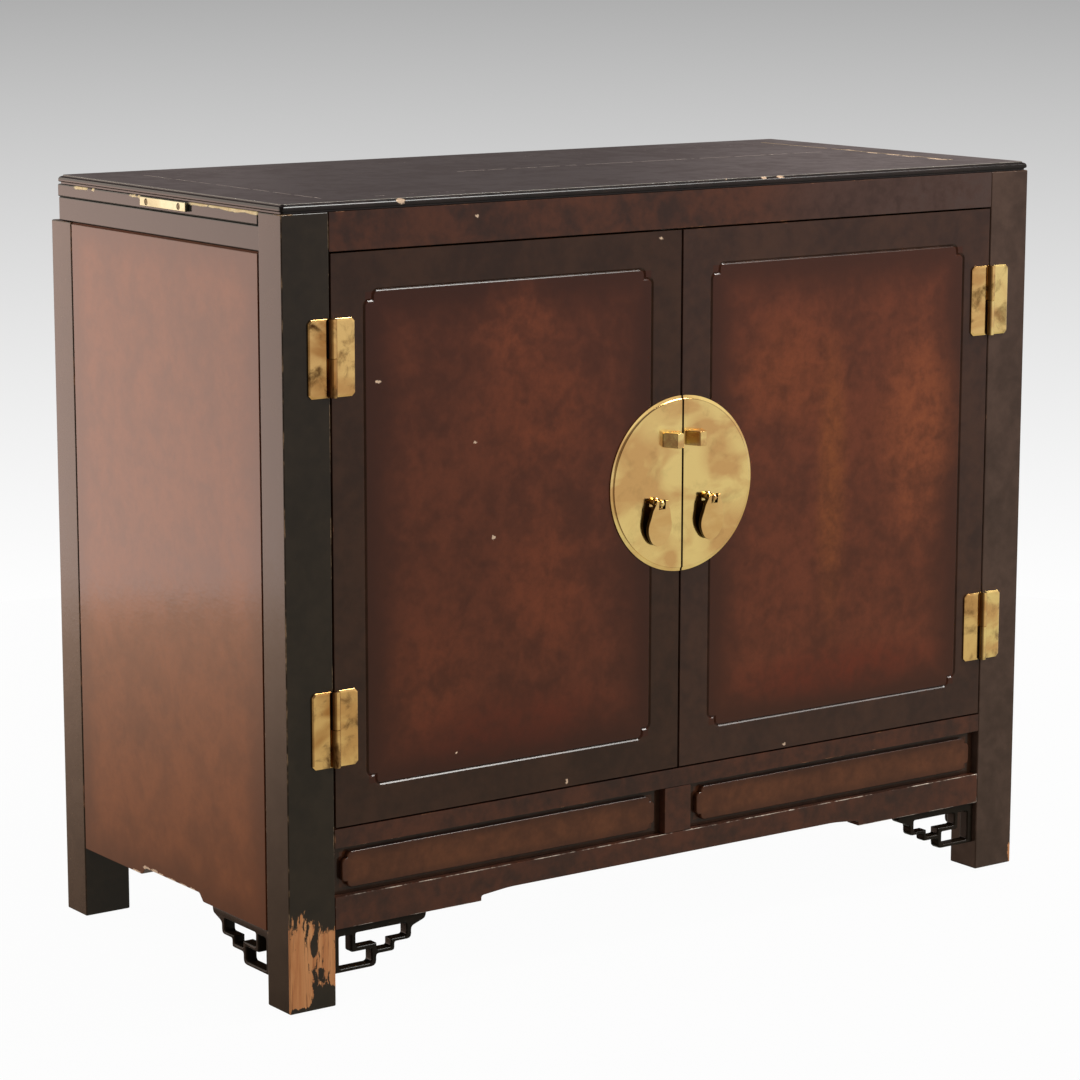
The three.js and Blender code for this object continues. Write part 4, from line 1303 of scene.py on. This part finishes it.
def makeMedallion():
    s = medallion
    deselectAll()
    bpy.ops.mesh.primitive_circle_add(
        vertices=144, radius=s["radius"], fill_type="NGON", location=(0, s["back"], s["z"]),
        rotation=(math.pi / 2, 0, 0))
    disc = settle(named(bpy.context.object, "medallion"))
    thicken(disc, (0, s["rimDrop"] - s["thick"], 0))
    openEdit(disc)
    pickFacing(disc, 1, -1)
    for i in range(s["rimSteps"]):  # the rim is rounded over
        first, last = (math.pi / 2 * k / s["rimSteps"] for k in (i, i + 1))
        bpy.ops.mesh.inset(
            thickness=s["rim"] * (math.sin(last) - math.sin(first)),
            depth=s["rimDrop"] * (math.cos(first) - math.cos(last)))
    bpy.ops.mesh.select_all(action="SELECT")
    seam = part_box("medallion_half_right")[0].x
    bpy.ops.mesh.bisect(plane_co=(seam, 0, 0), plane_no=(1, 0, 0), clear_inner=True, use_fill=True)
    closeEdit()
    faceOut(disc)
    fitPair(disc, "medallion_half", brass(
        "brassMedallion", scale=26.0, stains=0.2, shift=(0.2, 0.5, 0.12), dents=0.04,
        clouds=s["clouds"]), angle=25)


lug = {
    "x": 15.5 * mm, "base": 24 * mm, "nose": 8.5 * mm, "edge": 0.7 * mm,
    # flank: how strong the painted shade on a lug's flanks is as they turn sideways
    "flank": (0.4, 0.75, 0.0, 0.35),
}


def lugShade(tree, piece):  # painted shade, brown, on the slanting flanks of a lug
    across = parted(tree, coordinates(tree, "Normal"))[0]
    return ramp(tree, absolute(tree, across), *lug["flank"])


def makeLugs():
    s = lug
    low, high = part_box("lug_right")
    shape = [(s["x"] - s["base"] / 2, high.y), (s["x"] - s["nose"] / 2, low.y),
             (s["x"] + s["nose"] / 2, low.y), (s["x"] + s["base"] / 2, high.y)]
    wedge = thicken(trace("lug", [(x, y, low.z) for x, y in shape]), (0, 0, high.z - low.z))
    roundEdges(wedge, s["edge"], segments=3)
    fitPair(wedge, "lug", brass(
        "brassLug", scale=70.0, stains=0.15, shift=(0.7, 0.1, 0.3), dents=0.04,
        dark=lugShade), angle=25)


stud = {
    "x": 36 * mm, "z": 493.7 * mm, "y": -243.4 * mm, "collar": 5 * mm, "collarHigh": 2.2 * mm,
    "collarEdge": 0.8 * mm, "stem": 2.2 * mm, "stemFlare": (0.8 * mm, 0.6 * mm),
    "ball": 3.9 * mm, "ballSteps": 12, "ballShown": 10,  # steps of half a turn, and how many show
    "pin": 0.9 * mm, "pinHalf": 8 * mm, "pinEdge": 0.3 * mm,
}


def makeStuds():
    s = stud
    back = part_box("pull_stud_right")[1].y - s["y"]
    top = back - s["collarHigh"]
    flareWide, flareHigh = s["stemFlare"]
    turns = [math.pi * i / s["ballSteps"] for i in range(s["ballShown"])]
    ball = [(s["ball"] * math.sin(turn), -s["ball"] * math.cos(turn)) for turn in turns]
    profile = [*ball, (s["stem"], top - flareHigh), (s["stem"] + flareWide, top),
               (s["collar"] - s["collarEdge"], top), (s["collar"], top + s["collarEdge"]),
               (s["collar"], back), (0, back)]
    piece = spun("stud", profile, (s["x"], s["y"], s["z"]), sides=28)
    pin = rod("pin", s["pin"], (s["x"] - s["pinHalf"], s["y"], s["z"]),
              (s["x"] + s["pinHalf"], s["y"], s["z"]), sides=16)
    combine(piece, roundEdges(pin, s["pinEdge"]), "UNION")
    fitPair(piece, "pull_stud", brass(
        "brassStud", scale=80.0, stains=0.2, shift=(0.3, 0.2, 0.9), satin=0.15))


drop = {
    "thick": 5 * mm, "edge": 0.8 * mm, "bore": 1.2 * mm, "boreHalf": 12 * mm,
    "lean": math.radians(7.36), "notchHalf": 4.4 * mm, "notchFoot": 6 * mm,
    "edgeSteps": [(0.3, 0.7), (0.7, 0.3)],  # shares of the edge: inset, rise
    # behind: how strong the painted shade is as its faces turn backwards
    "behind": (-0.4, -0.15, 0.0, 0.92),
    # right-hand side of the drop in millimetres: half width, height above the pin
    "side": [(7.3, 3.6), (8.3, 2.6), (8.3, 0), (8.8, -1.3), (9.6, -3), (10.6, -5), (11.6, -7),
             (12.4, -10.4), (13.2, -14.3), (14.3, -18.4), (15.3, -22), (15.75, -25),
             (15.8, -27.5), (15.5, -30.5), (14.9, -33.2), (13.9, -35.7), (12.2, -39.4),
             (10, -42.8), (7.7, -45.1), (5, -46.6), (2.6, -47.4), (0, -47.6)],
}


def dropShade(tree, piece):  # painted shade, brown-black, on its edge and back
    backward = parted(tree, coordinates(tree, "Normal"))[1]
    return ramp(tree, backward, *drop["behind"])


def makeDrops():
    s = drop
    outline = s["side"] + [(-x, z) for x, z in reversed(s["side"][:-1])]
    back = s["thick"] / 2
    piece = trace("drop", [(x * mm, back - s["edge"], z * mm) for x, z in outline])
    thicken(piece, (0, 2 * s["edge"] - s["thick"], 0))
    openEdit(piece)
    for way in (-1, 1):
        pickFacing(piece, 1, way)
        for inset, rise in s["edgeSteps"]:
            bpy.ops.mesh.inset(thickness=s["edge"] * inset, depth=s["edge"] * rise)
    closeEdit()
    notch = plank("notch", (-s["notchHalf"], -s["thick"], -s["notchFoot"]),
                  (s["notchHalf"], s["thick"], s["thick"]))
    combine(piece, notch, "DIFFERENCE")
    bore = rod("bore", s["bore"], (-s["boreHalf"], 0, 0), (s["boreHalf"], 0, 0), sides=20)
    combine(piece, bore, "DIFFERENCE")
    piece.rotation_euler.x = s["lean"]
    piece.location = (stud["x"], stud["y"], stud["z"])
    settle(piece)
    fitPair(piece, "drop_pull", brass(
        "brassDrop", scale=45.0, stains=0.05, shift=(0.15, 0.2, 0.4), dents=0.04,
        dark=dropShade, tone="plain", stain="soot"), angle=40)
    print("medallion and pulls made")


makeMedallion()
makeLugs()
makeStuds()
makeDrops()


# The corner frets: open brackets with rounded bars
fret = {
    "long": 118, "drop": 49.5, "round": 5, "holeRound": 2.2,
    # the bars' edges are rounded in steps: inset, rise
    "steps": [(0.25, 0.9), (0.55, 0.75), (0.9, 0.5)],
    # share of the length from the post, share of the drop, share of the corner's radius
    "outline": [(0, 0, 0), (1, 0, 0), (0.985, 0.16, 0.6), (0.835, 0.29, 0.7), (0.835, 0.55, 1.1),
                (0.655, 0.55, 0.5), (0.655, 0.74, 0.7), (0.462, 0.74, 0.6), (0.462, 1, 1.3),
                (0, 1, 0)],
    "upper": [(0.245, 0.19, 1), (0.78, 0.19, 1), (0.78, 0.47, 1.2), (0.615, 0.47, 0.5),
              (0.615, 0.64, 1), (0.465, 0.64, 0.7), (0.465, 0.49, 0.5), (0.245, 0.49, 1)],
    "lower": [(0.07, 0.21, 1), (0.195, 0.21, 0.5), (0.195, 0.6, 1.2), (0.408, 0.6, 0.8),
              (0.408, 0.91, 1.6), (0.07, 0.91, 0.8)],
}


def fretBoard(name, shares, radius, place, near, thickness):
    points = [(along * fret["long"], -down * fret["drop"], share * radius)
              for along, down, share in shares]
    board = trace(name, [place(p.x * mm, p.y * mm, near) for p in eased(points, steps=3)])
    return thicken(board, thickness)


def makeFrets():
    rise = sum(step[1] for step in fret["steps"]) * mm
    for stem, axis in (("front_fret", 1), ("side_fret", 0)):
        low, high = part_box(stem + "_right")
        outward = Vector((1 - axis, axis, 0))
        thick = high[axis] - low[axis]

        def place(along, up, near):  # near is how far behind the bracket's own near side
            if axis == 1:
                return (high.x - along, low.y + near, high.z + up)
            return (low.x + near, low.y + along, high.z + up)
        piece = fretBoard(stem, fret["outline"], fret["round"], place, rise,
                          outward * (thick - 2 * rise))
        for hole in ("upper", "lower"):
            cutter = fretBoard("hole", fret[hole], fret["holeRound"], place, -mm,
                               outward * (thick + 2 * mm))
            combine(piece, cutter, "DIFFERENCE")
        openEdit(piece)
        for way in (-1, 1):
            pickFacing(piece, axis, way)
            for inset, lift in fret["steps"]:
                bpy.ops.mesh.inset(thickness=inset * mm, depth=lift * mm)
        closeEdit()
        fitPair(piece, stem, lacquer("fret"), angle=50)
    print("frets made")


makeFrets()


# The inside, the back and the feet
inside = {  # how each board's streaks are squeezed along x, y and z
    "shelf": (0.05, 1.0, 1.0), "back_panel": (1.0, 1.0, 0.05), "back_foot_rail": (0.05, 1.0, 1.0),
    "top_bearer": (1.0, 0.05, 1.0),
}


def makeInside():
    for node, stretch in inside.items():
        board = roundEdges(plank(node, *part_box(node)), edges["board"])
        fit(board, node, plainWood(stretch))
    for stem in ("shelf_cleat", "leaf_stop"):
        strip = roundEdges(plank(stem, *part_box(stem + "_right")), edges["board"])
        fitPair(strip, stem, plainWood(inside["top_bearer"]))
    for node in ("bottom_board", "front_leaf_runner", "back_leaf_runner"):
        kept = frame["nodes"][node]
        kept.data.materials.clear()
        kept.data.materials.append(plainWood(inside["shelf"])(kept))


fittings = {"catchEdge": 0.8 * mm, "strikeEdge": 0.4 * mm, "glideEdge": 0.8 * mm}


def makeFittings():
    s = fittings
    body = roundEdges(plank("door_catch", *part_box("door_catch")), s["catchEdge"])
    fit(body, "door_catch", steel)
    plate = roundEdges(plank("strike_right", *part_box("strike_right")), s["strikeEdge"])
    fitPair(plate, "strike", steel)
    for stem in ("glide_front", "glide_rear"):
        low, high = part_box(stem + "_right")
        x, y = (low.x + high.x) / 2, (low.y + high.y) / 2
        foot = rod("glide", (high.x - low.x) / 2, (x, y, low.z), (x, y, high.z), sides=40)
        roundEdges(foot, s["glideEdge"], segments=3, angle=60)
        fitPair(foot, stem, steel)
    print("inside and fittings made")


makeInside()
makeFittings()


# The photograph's camera
view = {
    "place": (-2.3102, -3.1867, 1.1398), "turn": (79.541, -0.068, -35.665), "lens": 116.57,
    "sensor": 36, "far": 100,
}


def makeCamera():
    data = bpy.data.cameras.new("camera")
    data.sensor_width = view["sensor"]
    data.lens = view["lens"]
    data.clip_end = view["far"]
    camera = bpy.data.objects.new("camera", data)
    bpy.context.scene.collection.objects.link(camera)
    camera.location = view["place"]
    camera.rotation_euler = [math.radians(angle) for angle in view["turn"]]
    bpy.context.scene.camera = camera


floorLooks = {"radius": 1.9, "colour": (0.42, 0.41, 0.4, 1), "white": 0.97, "roughness": 0.9,
              "specular": 0.1}

studio = {
    "light": 0.45, "black": (0, 0, 0, 1), "white": (1, 1, 1, 1),
    # what the polish mirrors: towards the front low down and further up, far to the right, and
    # over the horizon
    "low": (0.68, 0.66, 0.56, 1), "middle": (0.78, 0.75, 0.75, 1), "right": (0.1, 0.08, 0.07, 1),
    "ceiling": (0.345, 0.285, 0.275, 1), "front": (0.95, 0.9, 0.82, 1),
    "frontLeft": (0.26, 0.21, 0.16, 1),
    # a bright wall to the left with a floor that darkens towards the cabinet
    "wall": (4.45, 3.25, 2.8, 1), "wallHigh": (3.0, 2.6, 2.25, 1), "boards": (3.5, 2.3, 1.7, 1),
    "skirting": -0.197, "darkening": 18.5,
    # a window overhead in front: where it is, how wide, its soft rim, how bright
    "window": (0.5, -0.4, 0.77), "windowHalf": 0.24, "windowRim": 0.04,
    "pane": (34.0, 34.0, 33.0, 1),
    # the backdrop's brightness falls from the floor's far edge up to the horizon
    "lowest": -0.205, "span": 0.176, "fall": 0.575, "curve": 1.35,
}

limits = {  # where a part of the mirrored room begins and where it is full
    "above": {"up": (-0.04, 0.02)}, "middle": {"up": (-0.25, -0.08)},
    "right": {"across": (0.62, 0.72), "back": (0.1, 0.3)},
    "ceilingNear": {"across": (0.505, 0.53, 0.6, 0.46)},
    "ceilingFar": {"across": (0.585, 0.66, 0.0, 0.4)},
    "front": {"across": (0.0, 0.35), "back": (-0.1, -0.35), "up": (0.7, 0.45)},
    "window": {"across": (0.64, 0.5, 0.3, 1.0)},
    "frontLeft": {"across": (-0.05, -0.3), "back": (0.05, -0.15)},
    "left": {"across": (-0.12, -0.25), "back": (0.0, 0.25)},
    "wallHigh": {"up": (-0.05, 0.05)}, "wallEnd": {"up": (0.5, 0.75)},
    "wall": {"up": (studio["skirting"] - 0.002, studio["skirting"] + 0.002)},
}

lamps = {  # place, aims at, width, height, power, colour
    "front": ((1.6, -2.8, 2.0), (0.0, 0.0, 0.5), 1.6, 1.6, 46.0, (1.0, 0.97, 0.93)),
    "window": ((1.3, -0.73, 2.2), (0.1, -0.1, 0.6), 0.5, 0.4, 28.0, (1.0, 0.98, 0.96)),
    "left": ((-2.0, 1.0, 1.0), (-0.4, 0.0, 0.5), 1.2, 1.0, 16.0, (1.0, 0.92, 0.84)),
}


def mixShader(tree, share, first, second):
    return put(tree, "ShaderNodeMixShader", {0: share, 1: first, 2: second}).outputs[0]


def background(tree, colour, strength=1.0):
    return put(tree, "ShaderNodeBackground", {"Color": colour, "Strength": strength}).outputs[0]


def makeFloor():
    s = floorLooks
    deselectAll()
    bpy.ops.mesh.primitive_circle_add(
        vertices=96, radius=s["radius"], fill_type="NGON", location=(0, 0, 0))
    floor = settle(named(bpy.context.object, "floor"))
    material, tree, shader = newMaterial("floor")
    shader["Base Color"].default_value = s["colour"]
    shader["Roughness"].default_value = s["roughness"]
    shader["Specular IOR Level"].default_value = s["specular"]
    seen = put(tree, "ShaderNodeLightPath").outputs["Is Camera Ray"]
    white = put(tree, "ShaderNodeEmission", {"Color": studio["white"], "Strength": 1.0})
    shown = mixShader(tree, times(tree, seen, s["white"]),
                      tree.nodes["Principled BSDF"].outputs[0], white.outputs[0])
    feed(tree, tree.nodes["Material Output"].inputs["Surface"], shown)
    floor.data.materials.append(material)
    floor.visible_glossy = False


def glossyRoom(tree, way):  # the room as the polish mirrors it
    s = studio
    ways = dict(zip(("across", "back", "up"), parted(tree, way)))

    def share(part):  # how much of a part of the room is seen this way
        ramps = [ramp(tree, ways[name], *span) for name, span in limits[part].items()]
        return times(tree, 1.0, *ramps)
    above = blend(tree, plus(tree, share("ceilingNear"), share("ceilingFar")), s["black"],
                  s["ceiling"])
    above = blend(tree, share("front"), above, s["front"])
    toWindow = vectorMaths(tree, "DISTANCE", way, s["window"], output="Value")
    pane = times(tree, ramp(tree, toWindow, s["windowHalf"], s["windowHalf"] - s["windowRim"]),
                 share("window"))
    above = blend(tree, pane, above, s["pane"])
    below = blend(tree, share("middle"), s["low"], s["middle"])
    below = blend(tree, share("right"), below, s["right"])
    room = blend(tree, share("above"), below, above)
    room = blend(tree, share("frontLeft"), room, s["frontLeft"])
    # the left wall, above its skirting, and the floor in front of it
    depth = times(tree, minus(tree, ways["up"], s["skirting"]), s["darkening"])
    boards = blend(tree, maths(tree, "EXPONENT", smallest(tree, depth, 0.0)), s["black"],
                   s["boards"])
    wall = blend(tree, share("wallHigh"), s["wall"], s["wallHigh"])
    wall = blend(tree, share("wallEnd"), wall, above)
    return blend(tree, share("left"), room, blend(tree, share("wall"), boards, wall))


def makeStudio():
    s = studio
    world = bpy.data.worlds.new("studio")
    bpy.context.scene.world = world
    world.use_nodes = True
    tree = world.node_tree
    way = coordinates(tree, "Generated")
    up = parted(tree, way)[2]
    share = maths(tree, "DIVIDE", minus(tree, up, s["lowest"]), s["span"], clamp=True)
    grey = minus(tree, 1.0, times(tree, maths(tree, "POWER", share, s["curve"]), s["fall"]))
    greys = put(tree, "ShaderNodeCombineColor", {0: grey, 1: grey, 2: grey}).outputs[0]
    path = put(tree, "ShaderNodeLightPath").outputs
    mirrors = largest(tree, path["Is Glossy Ray"], path["Is Transmission Ray"])
    lit = mixShader(tree, mirrors, background(tree, s["white"], s["light"]),
                    background(tree, glossyRoom(tree, way)))
    shown = mixShader(tree, path["Is Camera Ray"], lit, background(tree, greys))
    feed(tree, tree.nodes["World Output"].inputs["Surface"], shown)


def makeLamps():
    for name, (place, aim, wide, high, power, colour) in lamps.items():
        data = bpy.data.lights.new(name, "AREA")
        data.shape = "RECTANGLE"
        data.size, data.size_y = wide, high
        data.energy = power
        data.color = colour
        lamp = bpy.data.objects.new(name, data)
        lamp.location = place
        lamp.rotation_euler = (Vector(aim) - Vector(place)).to_track_quat("-Z", "Y").to_euler()
        lamp.visible_camera = False
        lamp.visible_glossy = False  # the polish mirrors the room instead
        bpy.context.scene.collection.objects.link(lamp)


makeCamera()
makeFloor()
makeStudio()
makeLamps()
bpy.context.scene.view_settings.view_transform = "Standard"
print("camera and studio ready")
